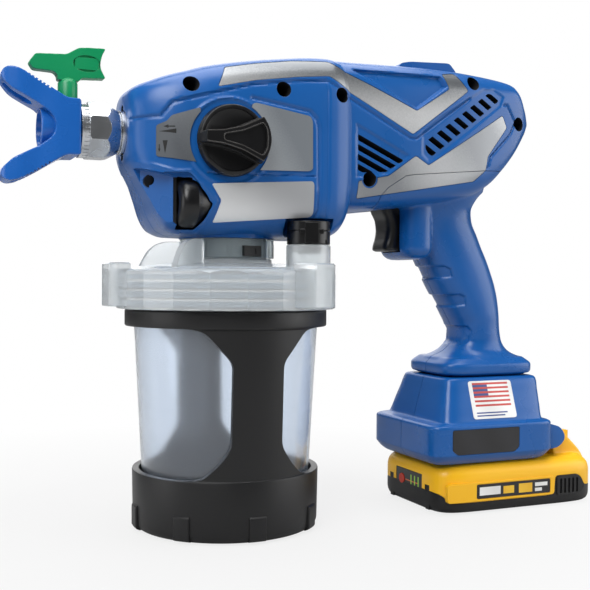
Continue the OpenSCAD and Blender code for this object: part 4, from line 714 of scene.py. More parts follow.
def cut_housing(shell, side):
    """Takes the openings that both shells have out of one of them."""
    for outline in vent_outlines():
        combine(shell, side_prism("slot", outline, *sorted((10 * side, 60 * side)), painted_shade_inside))
    for x, z in SCREWS:
        combine(shell, rod("well", (x, 15 * side, z), (x, 60 * side, z), WELL_R, material=painted_shade_inside))
    combine(shell, side_prism("parting", PARTING, -70, 70))
    combine(shell, rod("mouth", (-75, 0, NOZZLE_Z), (-45, 0, NOZZLE_Z), 12.0))
    for up_down in (-1, 1):
        notch_z = NOZZLE_Z + 12.6 * up_down
        combine(shell, rod("notch", (-75, 0, notch_z), (-48, 0, notch_z), 2.2, material=painted_shade_inside))
    combine(shell, rod("inlet", (0, 0, 150), (0, 0, 166), 11.5))
    (brow_x, _), (cheek_x, _) = CHIN_PLAN[1:3]
    foot = [[x, side * y, 140] for x, y in CHIN_PLAN]
    brow = [[x, side * y, CHIN_Z - CHIN_RISE * (max(x, brow_x) - cheek_x)] for x, y in CHIN_PLAN]
    combine(shell, ring_loft("chin", np.array([foot, brow])))
    hole, out = np.array(CHEEK_AT) * (1, side, 1), np.array(CHEEK_OUT) * (1, side, 1)
    combine(shell, rod("cheek_hole", hole - 4 * out, hole + 6 * out, 2.5, material=painted_shade_inside))


def turned(name, start, way, profile, steps=72, material=None):
    """A solid turned about an axis: profile rows are distance along the axis and radius, in mm."""
    profile, way = np.asarray(profile, float), np.asarray(way, float)
    side = np.cross(way, [0, 0, 1] if abs(way[2]) < 0.9 else [1, 0, 0])
    turn = np.arange(steps) * 2 * math.pi / steps
    ring = np.outer(np.cos(turn), side) + np.outer(np.sin(turn), np.cross(way, side))
    along = np.asarray(start, float) + profile[:, :1] * way
    return ring_loft(name, along[:, None] + profile[:, 1, None, None] * ring, material)


# %% Recesses of the left shell
DIAL_AT = np.array([-33.5, -26.0, 173.5])
DIAL_R = 12.9
DOOR_Y = -27.9
DIAL_DOOR = [[-60, 160.0], [-60, 186.4], [-30, 186.4], [-30, 160.0]]
BAY_PLAN = [(-45, -26), (-38.5, -28.2), (-20.5, -39), (-18, -42), (-18, -70), (-45, -70)]
DIAL_SIDE = [[-45, 189], [-31.9, 189], [-19.9, 174.8], [-27.5, 158.3], [-29, 150], [-45, 150]]
PORT_AT = (35.0, -33.0)


def knob_rod(name, r, steps=64):
    """A rod on the knob's axis, through the left side."""
    return rod(name, (KNOB_AT[0], -60, KNOB_AT[1]), (KNOB_AT[0], -10, KNOB_AT[1]), r, steps=steps)


def cut_left(shell):
    """Takes out the dial's bay, the valve cap's pocket and the hole of the knob's stem."""
    bay = ring_loft("bay", np.array([[[x, y, z] for x, y in BAY_PLAN] for z in (150, 188.8)]), blue_abs)
    combine(bay, side_prism("bay_side", rounded(DIAL_SIDE, 2.2), -80, 0), "INTERSECT")
    combine(shell, bay)
    combine(shell, turned("dial_space", DIAL_AT, (1, 0, 0), [[-3.4, DIAL_R + 0.8], [5.7, DIAL_R + 0.8],
        [7.9, DIAL_R - 0.8], [11.9, DIAL_R - 3], [19.8, DIAL_R - 3.4]], material=painted_shade_inside))
    combine(shell, side_prism("dial_door", rounded(DIAL_DOOR, 1), -60, DOOR_Y, painted_shade_inside))
    combine(shell, rod("valve_space", (*PORT_AT, 140), (*PORT_AT, 167.5), 14.0, material=blue_abs))
    combine(shell, knob_rod("stem_hole", 11.0))


# %% Housing shells
SPACING = 0.75
TOP_BRIDGE = [[98.5, 240], [98.5, 258.6], [100.5, 260.4], [106.5, 261.6], [131, 262.9], [133, 262.5],
    [137.2, 258], [139, 240]]
for side, word, relief in ((-1, "left", relief_left), (1, "right", relief_both)):
    shell = housing_solid("housing_" + word, side, SPACING, relief=relief)
    combine(shell, side_prism("bridge", rounded(TOP_BRIDGE, 1.6), *sorted((0.04 * side, 17 * side))), "UNION")
    combine(shell, rod("neck", (0, 0, 156.5), (0, 0, 162.5), 26.4), "UNION")
    combine(shell, side_prism("half", [[-90, 100], [-90, 300], [220, 300], [220, 100]],
        *sorted((-0.04 * side, -80 * side))))
    cut_housing(shell, side)
    if side < 0:
        cut_left(shell)
    finished(shell, "sprayer", "body_shell_" + word)

# %% [markdown]
# Foil trims
# ----------
# The bright stripe, the side panel and the badges are film labels that sit in shallow pockets, so
# that a hand can't lift their edges. Each pocket is the label's outline, a little larger, cut to a
# depth of half a millimetre. The label is a slice of the same skin, so it bends over the housing's
# step. The side panel crosses the line where housing and grip part, so it is made in two parts.

# %% Pockets and foils
STRIPE = [[-17.4, 233.4], [3, 238.2], [27, 242], [45.3, 244.1], [99, 216.9], [136.5, 244.5], [129, 254.4],
    [120.3, 253], [123.7, 244.3], [101.4, 230], [53.7, 249.4], [46.5, 252.6], [25, 251.2], [5, 248],
    [-12.3, 244.4]]
PANEL = [[65.2, 188.9], [76.3, 191.1], [83.8, 192.6], [101, 204.7], [109.5, 199.8], [161.6, 232.2],
    [164.9, 225.4], [150.7, 207.5], [149.4, 199.3], [141.2, 192.5], [65.2, 179.6]]
BADGES = {
    "badge_front": [[-48, 212.4], [-43, 214.6], [-41, 217.4], [-27, 221.8], [-25, 193.6], [-48, 196.6]],
    "badge_rear": [[0.4, 225.2], [2.6, 226.2], [33.3, 221.3], [34.8, 218.7], [35, 193.3], [33, 192.1],
        [0, 191.2]],
    "badge_low": [[-21, 183.3], [35, 186.9], [35.9, 185.4], [36, 169.5], [34.3, 167.8], [-19.3, 163.5],
        [-15.6, 174.9]],
}
RING_R = 21.0


def badge_film(name, light, dark, **finish):
    """A foil film that is a little less metallic than the trims."""
    return film_with_painted_sheen(name, light, dark, metallic=0.4, **finish)


foils = {
    "silver_stripe": foil_stripe,
    "badge_front": badge_film("foil_badge_dark", "#84888d", "#63676c", rough=0.36, dot=0.3, fade=60.0),
    "badge_rear": badge_film("foil_badge_grey", "#b4b9be", "#868c92", rough=0.36, dot=0.3, fade=70.0),
    "badge_low": badge_film("foil_badge_light", "#e2e3e4", "#b2b4b7", rough=0.34, fade=110.0),
}
POCKET_DEPTH, FOIL_BACK = 0.5, 2.0
FOIL_DEPTH, MARK_DEPTH = 0.05, 0.02
FOIL_SPACING = 0.9
skins = {depth: housing_solid("skin", -1, FOIL_SPACING, grow=-depth)
    for depth in (FOIL_DEPTH, MARK_DEPTH, POCKET_DEPTH, FOIL_BACK)}


def skin_slice(name, outline, depth, film):
    """The part of the left skin inside an outline, from depth down to FOIL_BACK below the skin."""
    slab = side_prism(name, outline, -48, -14, film)
    for skin, how in ((skins[depth], "INTERSECT"), (skins[FOIL_BACK], "DIFFERENCE")):
        skin.data.materials.clear()
        combine(slab, skin, how, keep_other=True)
    return slab


def pocket_cutter(outline):
    """A solid outside the skin that stands in an outline and ends POCKET_DEPTH below the skin."""
    slab = side_prism("pocket", outline, -48, -14)
    return combine(slab, skins[POCKET_DEPTH], keep_other=True)


outlines = {"silver_stripe": STRIPE, "side_panel": PANEL, **BADGES}
left_shell = bpy.data.objects["housing_left"]
for name, outline in outlines.items():
    cutter = pocket_cutter(grown(rounded(outline, 1.2), 0.3))
    if name in BADGES:
        combine(cutter, knob_rod("ring", RING_R, steps=96))
    combine(left_shell, cutter)
left_shell.data.set_sharp_from_angle(angle=math.radians(35))

parts = []
for name, outline in outlines.items():
    film = skin_slice(name, rounded(outline, 1.2), FOIL_DEPTH, foils.get(name, foil))
    if name in BADGES:
        combine(film, knob_rod("ring", RING_R + 0.3, steps=96))
    if name == "side_panel":
        for x, z in SCREWS:
            combine(film, rod("well", (x, -60, z), (x, -5, z), WELL_R + 0.9, steps=40))
        upper = copied(film)
        combine(upper, side_prism("below", PARTING, -70, 0))
        combine(film, side_prism("only_below", grown(PARTING, -0.35), -70, 0), "INTERSECT")
        combine(film, upper, "UNION")
    parts.append(film)
stripe, panel, *badges = parts
MARKS = [
    [[-44.9, 211.7], [-42.6, 212.6], [-42.6, 210.8]],
    [[-42.8, 212], [-39.4, 212], [-39.4, 211.4], [-42.8, 211.4]],
    [[-46.9, 209.2], [-38.9, 210.6], [-38.9, 208.2]],
    [[-45.2, 204.6], [-42.9, 204.6], [-44.1, 197.8]],
    [[-47.3, 200.4], [-46.1, 200.4], [-46.7, 198.7]],
    [[-46.9, 202.6], [-46.5, 202.6], [-46.5, 200.2], [-46.9, 200.2]]]
black_ink = film_with_painted_sheen("printed_black_ink", "#050506", "#09090a", rough=0.6)
badges += [skin_slice("mark", outline, MARK_DEPTH, black_ink) for outline in MARKS]
finished(stripe, "sprayer", "silver_stripe")
finished(panel, "sprayer", "side_panel")
for badge in badges[1:]:
    combine(badges[0], badge, "UNION")
badges[0].name = "knob_badges_foil"
finished(badges[0], "sprayer", "knob_badges")

# %% [markdown]
# Knob and dial
# -------------
# The knob is a disc with a wedge across it that points at the badge in front. The disc has a raised
# rim, and its two fields are sunk. It is turned and extruded, and the parts are joined into one body.
# A thin paler line, a painted highlight along the edges, runs round the wedge and round the dish in its top.
# The speed dial stands on edge in its bay, with its axis along the tool, a round edge and a dished face.

# %% Knob
KNOB_Y = -38.9
DISC_T = 4.4
FACE_Y = KNOB_Y - DISC_T
TOP_Y = FACE_Y - 7.8
POINTER = [[-18.6, -2.7], [-18.6, 2.7], [-8, 3.6], [2, 6.2], [13.4, 11.6], [16.2, 10], [17.6, 5], [17.9, 0],
    [17.6, -5], [16.2, -10], [13.4, -11.6], [2, -6.2], [-8, -3.6]]
DISHED = [[2, -3.6], [12.6, -8.2], [14.6, -5], [15, 0], [14.6, 5], [12.6, 8.2], [2, 3.6], [-8, 1.4],
    [-8, -1.4]]
# A paler black on the thin rims: a painted highlight where their edges catch the light
highlight_rim_black = plastic("soft_black_painted_highlight", "#3d3b3a", 0.22)


def knob_turned(name, profile, y=KNOB_Y, way=-1, material=None):
    """A solid turned about the knob's axis, from a depth y outwards or, with way 1, inwards."""
    return turned(name, (KNOB_AT[0], y, KNOB_AT[1]), (0, way, 0), profile, steps=144, material=material)


pointer, dished = (np.asarray(outline, float) + KNOB_AT for outline in (POINTER, DISHED))
knob = knob_turned("knob", [[0, KNOB_R - 0.3], [0.4, KNOB_R], [DISC_T - 1, KNOB_R - 0.5],
    [DISC_T - 0.3, KNOB_R - 0.8], [DISC_T, KNOB_R - 1.3]], material=black_soft)
combine(knob, knob_turned("sunk", [[0, KNOB_R - 2.6], [1.6, KNOB_R - 2.8], [1.9, KNOB_R - 3.4]],
    FACE_Y - 1, way=1))
for grow_by, y0 in ((0.5, FACE_Y - 1), (0, TOP_Y)):
    wedge = side_prism("wedge", rounded(grown(pointer, grow_by), 1.6), y0, KNOB_Y - 1, black_soft)
    combine(wedge, knob_turned("round", [[0, KNOB_R + 0.4], [DISC_T + 3, KNOB_R - 0.4],
        [DISC_T + 8, KNOB_R - 1.6]]), "INTERSECT")
    combine(knob, wedge, "UNION")
combine(knob, side_prism("hollow", rounded(dished, 1.2), FACE_Y - 10, FACE_Y - 6.6))
for line, out, into in ((rounded(pointer, 1.6), 0, -0.5), (rounded(dished, 1.2), 0.45, 0)):
    rim = side_prism("rim", grown(line, out), TOP_Y - 0.2, TOP_Y + 0.8, highlight_rim_black)
    combine(rim, side_prism("rim_inside", grown(line, into), TOP_Y - 1, TOP_Y + 2))
    combine(rim, knob_turned("round", [[0, KNOB_R], [DISC_T + 9, KNOB_R - 1.7]]), "INTERSECT")
    combine(knob, rim, "UNION")
combine(knob, rod("stem_bore", (KNOB_AT[0], KNOB_Y - 1.5, KNOB_AT[1]), (KNOB_AT[0], 0, KNOB_AT[1]), 4.3))
finished(knob, "prime", "prime_knob")

# %% Speed dial
# Each row is a distance towards the rear and how much smaller than DIAL_R the dial is there
DIAL_EDGE = [[-3.5, 5.6], [-3.4, 4.2], [-2.9, 2.4], [-1.9, 1.1], [-0.4, 0.3], [1.4, 0.1], [5.5, 0.1],
    [7.5, 1.6], [9.5, 2.9], [13.5, 4.2], [19, 4.2]]
dial_side = [[x, DIAL_R - less] for x, less in DIAL_EDGE]
dial = turned("dial", DIAL_AT, (1, 0, 0), dial_side + [[19.2, 3], [26, 3]], steps=180, material=black_soft)
combine(dial, turned("dish", DIAL_AT - [4.2, 0, 0], (1, 0, 0), [[0, 7.2], [1.2, 7], [1.6, 6.4]], steps=90))
finished(dial, "dial", "speed_dial")

# %% [markdown]
# Grip
# ----
# The grip flows out of the motor housing, leans back, narrows for the palm and flares at its foot.
# It is a loft of rounded sections that go up along it, with the part of the housing under the parting
# line, the boss behind the trigger and the flange at the foot added. A fine voxel grid joins these
# forms, and a few passes of smoothing give the soft fillets of a moulding where they meet. Three
# shallow pads for the fingers are then pressed in, and it is split into a left and a right shell.

# %% Grip form
# Each row is height, front, rear and half width
GRIP = np.array([
    [88.5, 131, 189.5, 22.5], [90.5, 137, 184.5, 19.6], [94, 142.8, 180, 17.6], [99, 146.4, 177.2, 16.6],
    [106.5, 145.6, 176, 16.6], [115, 141.3, 175.6, 17], [123, 136, 174.8, 17], [131.3, 130.6, 173, 17],
    [139.5, 126, 170.1, 17], [147, 122, 167, 17], [155, 118, 163, 17], [163, 114, 159.4, 17],
    [170, 110, 156, 17.4], [176.5, 104, 155.2, 18.6], [184, 97, 158.6, 21.6], [190, 92, 164, 26]])


def grip_loft(name, spacing):
    """Sections with x = middle + a cos, y = b sin on the curve |cos|^2.5 + |sin|^2.5 = 1."""
    z = np.arange(GRIP[0, 0], GRIP[-1, 0], spacing)
    front, rear, half = (through_stations(GRIP[:, 0], GRIP[:, k], z)[:, None] for k in (1, 2, 3))
    turn = np.linspace(0, 2 * math.pi, int(130 / spacing), endpoint=False)[None]
    c, s = np.cos(turn), np.sin(turn)
    r = (np.abs(c) ** 2.5 + np.abs(s) ** 2.5) ** (-1 / 2.5)
    x = (front + rear) / 2 + (rear - front) / 2 * r * c
    y = half * r * s
    return ring_loft(name, np.stack([x, y, np.broadcast_to(z[:, None], x.shape)], -1), blue_abs)


def soft_box_loft(name, centre, half, z0, z1, r):
    """A box with rounded corners and a rounded lower end, as a loft going up of superellipses
    |cos|^3.2 + |sin|^3.2 = 1."""
    a = np.linspace(0, math.pi / 2, 8)
    inset = np.concatenate([r * (1 - np.sin(a)), [0, 0]])
    z = np.concatenate([z0 + r * (1 - np.cos(a)), [z0 + r + 0.5, z1]])
    turn = np.linspace(0, 2 * math.pi, 72, endpoint=False)[None]
    c, s = np.cos(turn), np.sin(turn)
    radius = (np.abs(c) ** 3.2 + np.abs(s) ** 3.2) ** (-1 / 3.2)
    x = centre[0] + (half[0] - inset)[:, None] * radius * c
    y = centre[1] + (half[1] - inset)[:, None] * radius * s
    return ring_loft(name, np.stack([x, y, np.broadcast_to(z[:, None], x.shape)], -1))


def softened(piece, voxel, passes):
    """Joins overlapping forms on a voxel grid and smooths the skin a few times."""
    net = piece.modifiers.new("net", "REMESH")
    net.mode, net.voxel_size = "VOXEL", voxel * MM
    calm = piece.modifiers.new("calm", "SMOOTH")
    calm.factor, calm.iterations = 0.5, passes
    return applied(piece)


FLANGE = [[77.8, 28.3, 22.3], [78.7, 28.4, 22.4], [78.9, 30.6, 24.4], [80.4, 31.7, 25.5], [84.6, 31.8, 25.5],
    [85.4, 31.2, 24.9], [87.6, 28.6, 22.6], [88.6, 27.4, 21.4]]
PADS = [[[100, 142.8], [132, 143.2], [135.5, 141.6], [137.2, 136.8], [100, 131]],
    [[105, 122.6], [142, 126.6], [145.6, 125.2], [146.3, 119.8], [105, 113.6]],
    [[115, 105.4], [149, 107.2], [151.4, 104.6], [149.8, 98], [147, 96.4], [115, 95.6]]]
PAD_DEPTH = 1.2


def block(name, low, high, material=None):
    """A box between two corners, in mm."""
    (x0, y0, z0), (x1, y1, z1) = low, high
    plan = [(x0, y0), (x1, y0), (x1, y1), (x0, y1)]
    return ring_loft(name, np.array([[[x, y, z] for x, y in plan] for z in (z0, z1)], float), material)


def stacked(name, stations, middle, corner, spacing, material=None):
    """A loft through stations of height, half length a and half width b. The radius at an angle is
    (|cos / a|^n + |sin / b|^n)^(-1/n), with n = corner."""
    stations = np.asarray(stations, float)
    z = np.unique(np.concatenate([np.arange(stations[0, 0], stations[-1, 0], spacing), stations[:, 0]]))
    turn = np.linspace(0, 2 * math.pi, 160, endpoint=False)
    c, s = np.cos(turn), np.sin(turn)
    a, b, m = (through_stations(stations[:, 0], v, z)[:, None] for v in
        (stations[:, 1], stations[:, 2], np.broadcast_to(middle, len(stations))))
    radius = ((np.abs(c) / a) ** corner + (np.abs(s) / b) ** corner) ** (-1 / corner)
    height = np.broadcast_to(z[:, None], radius.shape)
    return ring_loft(name, np.stack([m + radius * c, radius * s, height], -1), material)


def press_in(piece, depth):
    """Moves each point inwards along its normal by depth(points in mm)."""
    n = len(piece.data.vertices)
    co, normal = np.empty(n * 3), np.empty(n * 3)
    piece.data.vertices.foreach_get("co", co)
    piece.data.vertices.foreach_get("normal", normal)
    co, normal = co.reshape(-1, 3), normal.reshape(-1, 3)
    co -= normal * (depth(co / MM) * MM)[:, None]
    piece.data.vertices.foreach_set("co", co.ravel())
    piece.data.update()


def halves(whole, outline, word):
    """Splits a whole moulding on the middle plane, with a fine groove along the seam."""
    seam = side_prism("seam", grown(outline, 3), -0.25, 0.25)
    combine(seam, side_prism("core", grown(outline, -0.5), -0.5, 0.5))
    combine(whole, seam)
    made = []
    for side, hand in ((-1, "left"), (1, "right")):
        half = copied(whole)
        half.name = word + "_" + hand
        y0, y1 = (0.04, 90) if side < 0 else (-90, -0.04)
        made.append(combine(half, block("other_side", (-400, y0, 0), (400, y1, 400))))
    bpy.data.objects.remove(whole)
    return made


# %% Grip shells
VOXEL = 0.85
whole_grip = grip_loft("whole_grip", 1.0)
combine(whole_grip, soft_box_loft("boss", (113.5, 0), (10.5, 19.5), 147, 186, 7), "UNION")
combine(whole_grip, stacked("flange", FLANGE, 160, 6, 0.6), "UNION")
UNDER_PARTING = [[79.2, 130], [79.2, 176], [80.4, 183], [85, 188], [95, 194.6], [100, 195.8],
    [148.7, 200.8], [200, 202], [200, 130]]
ABOVE_PARTING = [[60, 174.3], [79.2, 174.3], [80.1, 181.6], [84, 186.1], [94.7, 193.1], [100, 194.1],
    [148.7, 198.9], [161.3, 199.6], [210, 200.1], [210, 260], [60, 260]]
for side in (-1, 1):
    saddle = housing_loft("saddle", MOTOR, side, 1.3, seam_at=-0.4)
    combine(saddle, side_prism("under", UNDER_PARTING, -70, 70), "INTERSECT")
    combine(whole_grip, saddle, "UNION")
softened(whole_grip, VOXEL, 5)
press_in(whole_grip, lambda p: PAD_DEPTH * sum(step_in(p[:, [0, 2]], pad, 1.1) for pad in PADS))
combine(whole_grip, side_prism("above", ABOVE_PARTING, -70, 70))
combine(whole_grip, block("trigger_space", (85, -10.5, 151.3), (118.4, 10.5, 179.5), painted_shade_inside))
z = np.linspace(89, 178, 40)
front, rear = (through_stations(GRIP[:, 0], GRIP[:, k], z) for k in (1, 2))
seam_line = np.concatenate([np.stack([front, z], 1), [[104, 186], [160, 196]], np.stack([rear, z], 1)[::-1],
    [[191.8, 84], [188, 78], [132, 78], [128.2, 84]]])
left_grip, right_grip = halves(whole_grip, seam_line, "grip")
combine(left_grip, pocket_cutter(grown(rounded(PANEL, 1.2), 0.3)))
finished(left_grip, "sprayer", "handle_shell_left")
finished(right_grip, "sprayer", "handle_shell_right")
for skin in skins.values():
    bpy.data.objects.remove(skin)

# %% [markdown]
# Trigger
# -------
# The trigger is a lever of glass-filled nylon with a hollow in front for the finger and a shallow
# valley along each side. It is a stack of rounded plans whose front follows the finger's curve.

# %% Trigger
TRIGGER_Z = np.linspace(151.8, 179.0, 36)
TRIGGER_FRONT = through_stations([151.8, 155, 159.4, 164.3, 169.8, 174.6, 179],
    [94.6, 94.9, 96.2, 96.9, 96.2, 93.8, 92.2], TRIGGER_Z)
TRIGGER_REAR, TRIGGER_HALF = 112.0, 10.0


def trigger_ring(front, inset):
    """A section of the trigger: round in front, with a shallow valley along each side."""
    plan = rounded([[front, -TRIGGER_HALF], [front, TRIGGER_HALF], [TRIGGER_REAR, TRIGGER_HALF],
        [TRIGGER_REAR, -TRIGGER_HALF]], 4.6, steps=9)
    sides = [np.linspace(plan[i], plan[(i + 1) % len(plan)], 9)[:-1] if i % 9 == 8 else plan[i:i + 1]
        for i in range(len(plan))]
    plan = np.concatenate(sides)
    valley = 0.09 * np.exp(-((plan[:, 0] - front - 8.5) / 3.2) ** 2)
    plan[:, 1] *= (1 - valley) * (1 - inset / TRIGGER_HALF)
    plan[:, 0] += inset * np.clip(1 - (plan[:, 0] - front) / 6, 0, 1)
    return plan


rise = TRIGGER_Z - TRIGGER_Z[0]
insets = 1.6 * (1 - np.sqrt(1 - np.clip(1 - rise / 1.6, 0, 1) ** 2))
rings = np.array([np.insert(trigger_ring(front, inset), 2, z, axis=1)
    for front, inset, z in zip(TRIGGER_FRONT, insets, TRIGGER_Z)])
trigger = ring_loft("trigger_lever", rings, black_nylon)
stem_end = max(corner[0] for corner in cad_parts["trigger"].bound_box) / MM
combine(trigger, rod("stem", (TRIGGER_REAR - 2, 0, 166), (stem_end, 0, 166), 2.6), "UNION")
finished(trigger, "trigger_body", "trigger", crisp=50)

# %% [markdown]
# Battery adapter
# ---------------
# The adapter is a square base with a sloping tower on it. It takes the pack on two rails that slide
# into a slot from behind. It is lofted upwards through a few stations, whose superellipses are almost
# rectangles, and the slot is cut through it.

# %% Adapter shells
# Each row is height, front, rear and half width
ADAPTER = np.array([
    [28.5, 117, 191, 32.8], [29, 116, 192, 33.8], [33.2, 112.2, 195.8, 37.4], [34.4, 111.5, 196.5, 38],
    [49.6, 111.5, 196.5, 38], [50.8, 111.9, 196.1, 37.7], [51.6, 113.2, 194.8, 36.6], [51.9, 116, 193, 36.1],
    [52.3, 119.6, 191.6, 35.5], [53.2, 120.2, 191.2, 35], [60.8, 122.3, 191.5, 32.3],
    [68.4, 124.5, 191.8, 29.6], [76, 126.6, 192, 26.9], [77, 127.3, 191.4, 26.1], [77.5, 129, 190, 24.8]])
LUG = [[188, 31.5], [204.5, 33.5], [209, 37.5], [209, 41.5], [205.5, 46], [196.5, 48.5], [188, 48.5]]
LABEL = [[124, 48.8], [169.6, 48.8], [169.6, 37.2], [166.2, 34.6], [127.4, 34.6], [124, 37.2]]
height, front, rear, width = ADAPTER.T
whole_adapter = stacked("adapter", np.stack([height, (rear - front) / 2, width], 1), (front + rear) / 2,
    11, 0.8, blue_abs)
for y in (-25.5, 25.5):
    combine(whole_adapter, side_prism("lug", rounded(LUG, 3), y - 4.5, y + 4.5), "UNION")
combine(whole_adapter, block("slot", (121.5, -19.3, 20), (260, 19.3, 42), painted_shade_inside))
combine(whole_adapter, block("rails", (121.5, -22, 32.7), (260, 22, 37.5), painted_shade_inside))
combine(whole_adapter, block("well", (127.5, -14, 41), (180, 14, 69.5), painted_shade_inside))
adapter_line = np.concatenate([ADAPTER[:, [1, 0]], ADAPTER[::-1, [2, 0]]])
left_adapter, right_adapter = halves(whole_adapter, adapter_line, "adapter")
combine(left_adapter, side_prism("label_pocket", grown(rounded(LABEL, 1), 0.25), -50, -37.5))
finished(left_adapter, "sprayer", "adapter_shell_left")
finished(right_adapter, "sprayer", "adapter_shell_right")
label = side_prism("adapter_label_film", rounded(LABEL, 1), -37.92, -37.3, black_film)
finished(label, "sprayer", "adapter_label")

# %% [markdown]
# Cup holder
# ----------
# The holder is a black shell that is open on two sides, so that the level in the liner can be seen.
# It is turned from its profile, with a rounded rim and foot. The windows are cut through it with
# rounded corners, and the lugs on the foot, which stop it turning in the hand, are added last.

# %% Cup holder
CUP_H, FOOT_R, TOP_R, NECK_R = 118.0, 50.8, 55.6, 54.4
WALL = 2.4
FOOT_BAND = 32.0


def arc(centre, r, a0, a1, steps=6):
    """Points [height, radius] on an arc, for a profile; angles in degrees from the radius' way."""
    a = np.radians(np.linspace(a0, a1, steps))
    return [[centre[0] + r * math.sin(t), centre[1] + r * math.cos(t)] for t in a]


def upright(name, profile, material=None, steps=200, at=(0, 0, 0)):
    """A solid turned about a vertical axis. Profile rows are height over at and radius, in mm."""
    return turned(name, at, (0, 0, 1), profile, steps, material)


def standing(name, degrees, levels, material=None):
    """A loft that stands round the cup's axis. Each level is a height and an outline, whose points
    are a distance from the axis and a distance to the side, at an angle round the axis."""
    a = math.radians(degrees)
    way, across = np.array([math.cos(a), math.sin(a)]), np.array([-math.sin(a), math.cos(a)])
    return ring_loft(name, np.array([[[*(r * way + s * across), z] for r, s in plan] for z, plan in levels]),
        material)


outer = [[0, FOOT_R - 4.5], *arc((4.2, FOOT_R - 4.2), 4.2, -80, 0), [FOOT_BAND - 1.4, FOOT_R + 0.5],
    [FOOT_BAND - 0.4, FOOT_R + 0.2], [FOOT_BAND, FOOT_R - 0.4], [CUP_H - 9.6, TOP_R - 1.6],
    [CUP_H - 9, TOP_R - 0.6], *arc((CUP_H - 8, TOP_R - 0.7), 0.7, -60, 0, 4),
    *arc((CUP_H - 0.8, TOP_R - 0.8), 0.8, 0, 80, 4), [CUP_H, NECK_R], [CUP_H + 16, NECK_R]]
inner = [[3.5, FOOT_R - WALL - 3.4], [5.2, FOOT_R - WALL - 1.6], [8, FOOT_R - WALL - 1.2],
    [FOOT_BAND, FOOT_R - WALL - 0.8], [CUP_H - 9, NECK_R - WALL], [CUP_H + 17, NECK_R - WALL]]
holder = upright("holder", outer, black_nylon)
combine(holder, upright("hollow", inner))
STRAP = 13.7
WINDOW = [[STRAP, FOOT_BAND + 16.6], [STRAP + 5.4, FOOT_BAND + 8.6], [STRAP + 13, FOOT_BAND + 0.8],
    [STRAP + 20, FOOT_BAND - 0.6], [70, FOOT_BAND - 0.6], [70, CUP_H - 8.8], [STRAP + 20, CUP_H - 8.8],
    [STRAP + 13.6, CUP_H - 10.6], [STRAP, CUP_H - 26.2]]
for hand in (-1, 1):
    outline = rounded([[hand * x, z] for x, z in WINDOW][::hand], 3.6, steps=7)
    combine(holder, side_prism("window", outline, -70, 70))
THREAD_PITCH = 4.8
for i in range(3):
    at = (0, 0, CUP_H + 2.6 + THREAD_PITCH * i)
    thread = upright("thread", [[-1.3, NECK_R - 0.5], [-0.5, NECK_R + 2], [0.5, NECK_R + 2],
        [1.3, NECK_R - 0.5]], black_nylon, 120, at)
    combine(thread, upright("bore", [[-3, NECK_R - 1], [3, NECK_R - 1]], steps=120, at=at))
    combine(holder, thread, "UNION")
LUG_FORM = [[0.6, FOOT_R - 1], [1.2, FOOT_R + 0.4], [2.4, FOOT_R + 1.2], [11.6, FOOT_R + 1.3],
    [13, FOOT_R + 1.1], [13.7, FOOT_R + 0.5], [14, FOOT_R - 1]]
LUG_PLAN = [(FOOT_R - 2, -4.6), (FOOT_R + 0.6, -4.6), (FOOT_R + 1.3, -3.9), (FOOT_R + 1.3, 3.9),
    (FOOT_R + 0.6, 4.6), (FOOT_R - 2, 4.6)]
for i in range(8):
    lug = standing("lug", 45 * i - 90, [(0.2, LUG_PLAN), (14.4, LUG_PLAN)], black_nylon)
    combine(lug, upright("lug_form", LUG_FORM, black_nylon), "INTERSECT")
    combine(holder, lug, "UNION")
finished(holder, "cup", "cup_holder", crisp=30)

# %% [markdown]
# Liner and lid
# -------------
# The liner is a thin cup with a rolled rim. The lid screws over it: it has flats for the hand, three
# hollow ears, upright fins round its neck and a port for the air valve. The crests of the thread are
# thick and look white through the wall. The wall between them is thin and lets a little of the dark
# holder show, and its grey-blue colour adds painted shade for the holder behind it, so the bore has
# one material on its crests and another between them.

# %% Liner
LINER_FOOT, LINER_TOP, LINER_RIM_Z = FOOT_R - WALL - 3.4, NECK_R - WALL - 0.3, CUP_H + 16
RIM_T = 1.2
liner = upright("liner", [[3.51, LINER_FOOT - 6], [3.6, LINER_FOOT - 4.4],
    *arc((7.6, LINER_FOOT - 4.0), 4.0, -75, -5, 7), [8.6, LINER_FOOT], [LINER_RIM_Z, LINER_TOP],
    [LINER_RIM_Z + 0.02, NECK_R - 0.2], [LINER_RIM_Z + 0.6, NECK_R], [LINER_RIM_Z + RIM_T, NECK_R - 0.2]],
    liner_pp)
combine(liner, upright("inside", [[4.5, LINER_FOOT - 7], [4.7, LINER_FOOT - 5],
    *arc((7.9, LINER_FOOT - 4.6), 3.6, -75, -5, 7), [8.9, LINER_FOOT - 1], [LINER_RIM_Z + 3, LINER_TOP - 1]]))
finished(liner, "cup", "cup_liner", crisp=40)

# %% Lid
LID_Z, SKIRT, LID_R, LID_NECK = CUP_H + 0.5, 21.5, 60.5, 22.0
LID_TOP = LID_Z + SKIRT
COLLAR_TOP = LID_TOP + 16.2
FLATS = 20
lid = upright("lid", [[LID_Z, LID_R - 1.2], [LID_Z + 0.8, LID_R + 0.2], [LID_Z + 4, LID_R + 0.6],
    [LID_TOP - 3, LID_R + 0.2], [LID_TOP - 1.4, LID_R - 0.6], [LID_TOP - 0.4, LID_R - 2],
    [LID_TOP, LID_R - 4.5]], lid_pp)
flat_turn = 2 * math.pi * (np.arange(FLATS) + 0.5) / FLATS
flat_plan = LID_R * np.stack([np.cos(flat_turn), np.sin(flat_turn)], 1)
flats = ring_loft("flats", np.array([np.insert(flat_plan, 2, z, axis=1) for z in (LID_Z - 1, LID_TOP + 1)]),
    lid_pp)
combine(lid, flats, "INTERSECT")
EAR = rounded([(LID_R - 4, -14), (LID_R - 1.5, -13.5), (LID_R + 7, -9), (LID_R + 7, 9), (LID_R - 1.5, 12),
    (LID_R - 4, 12)], 1.4)
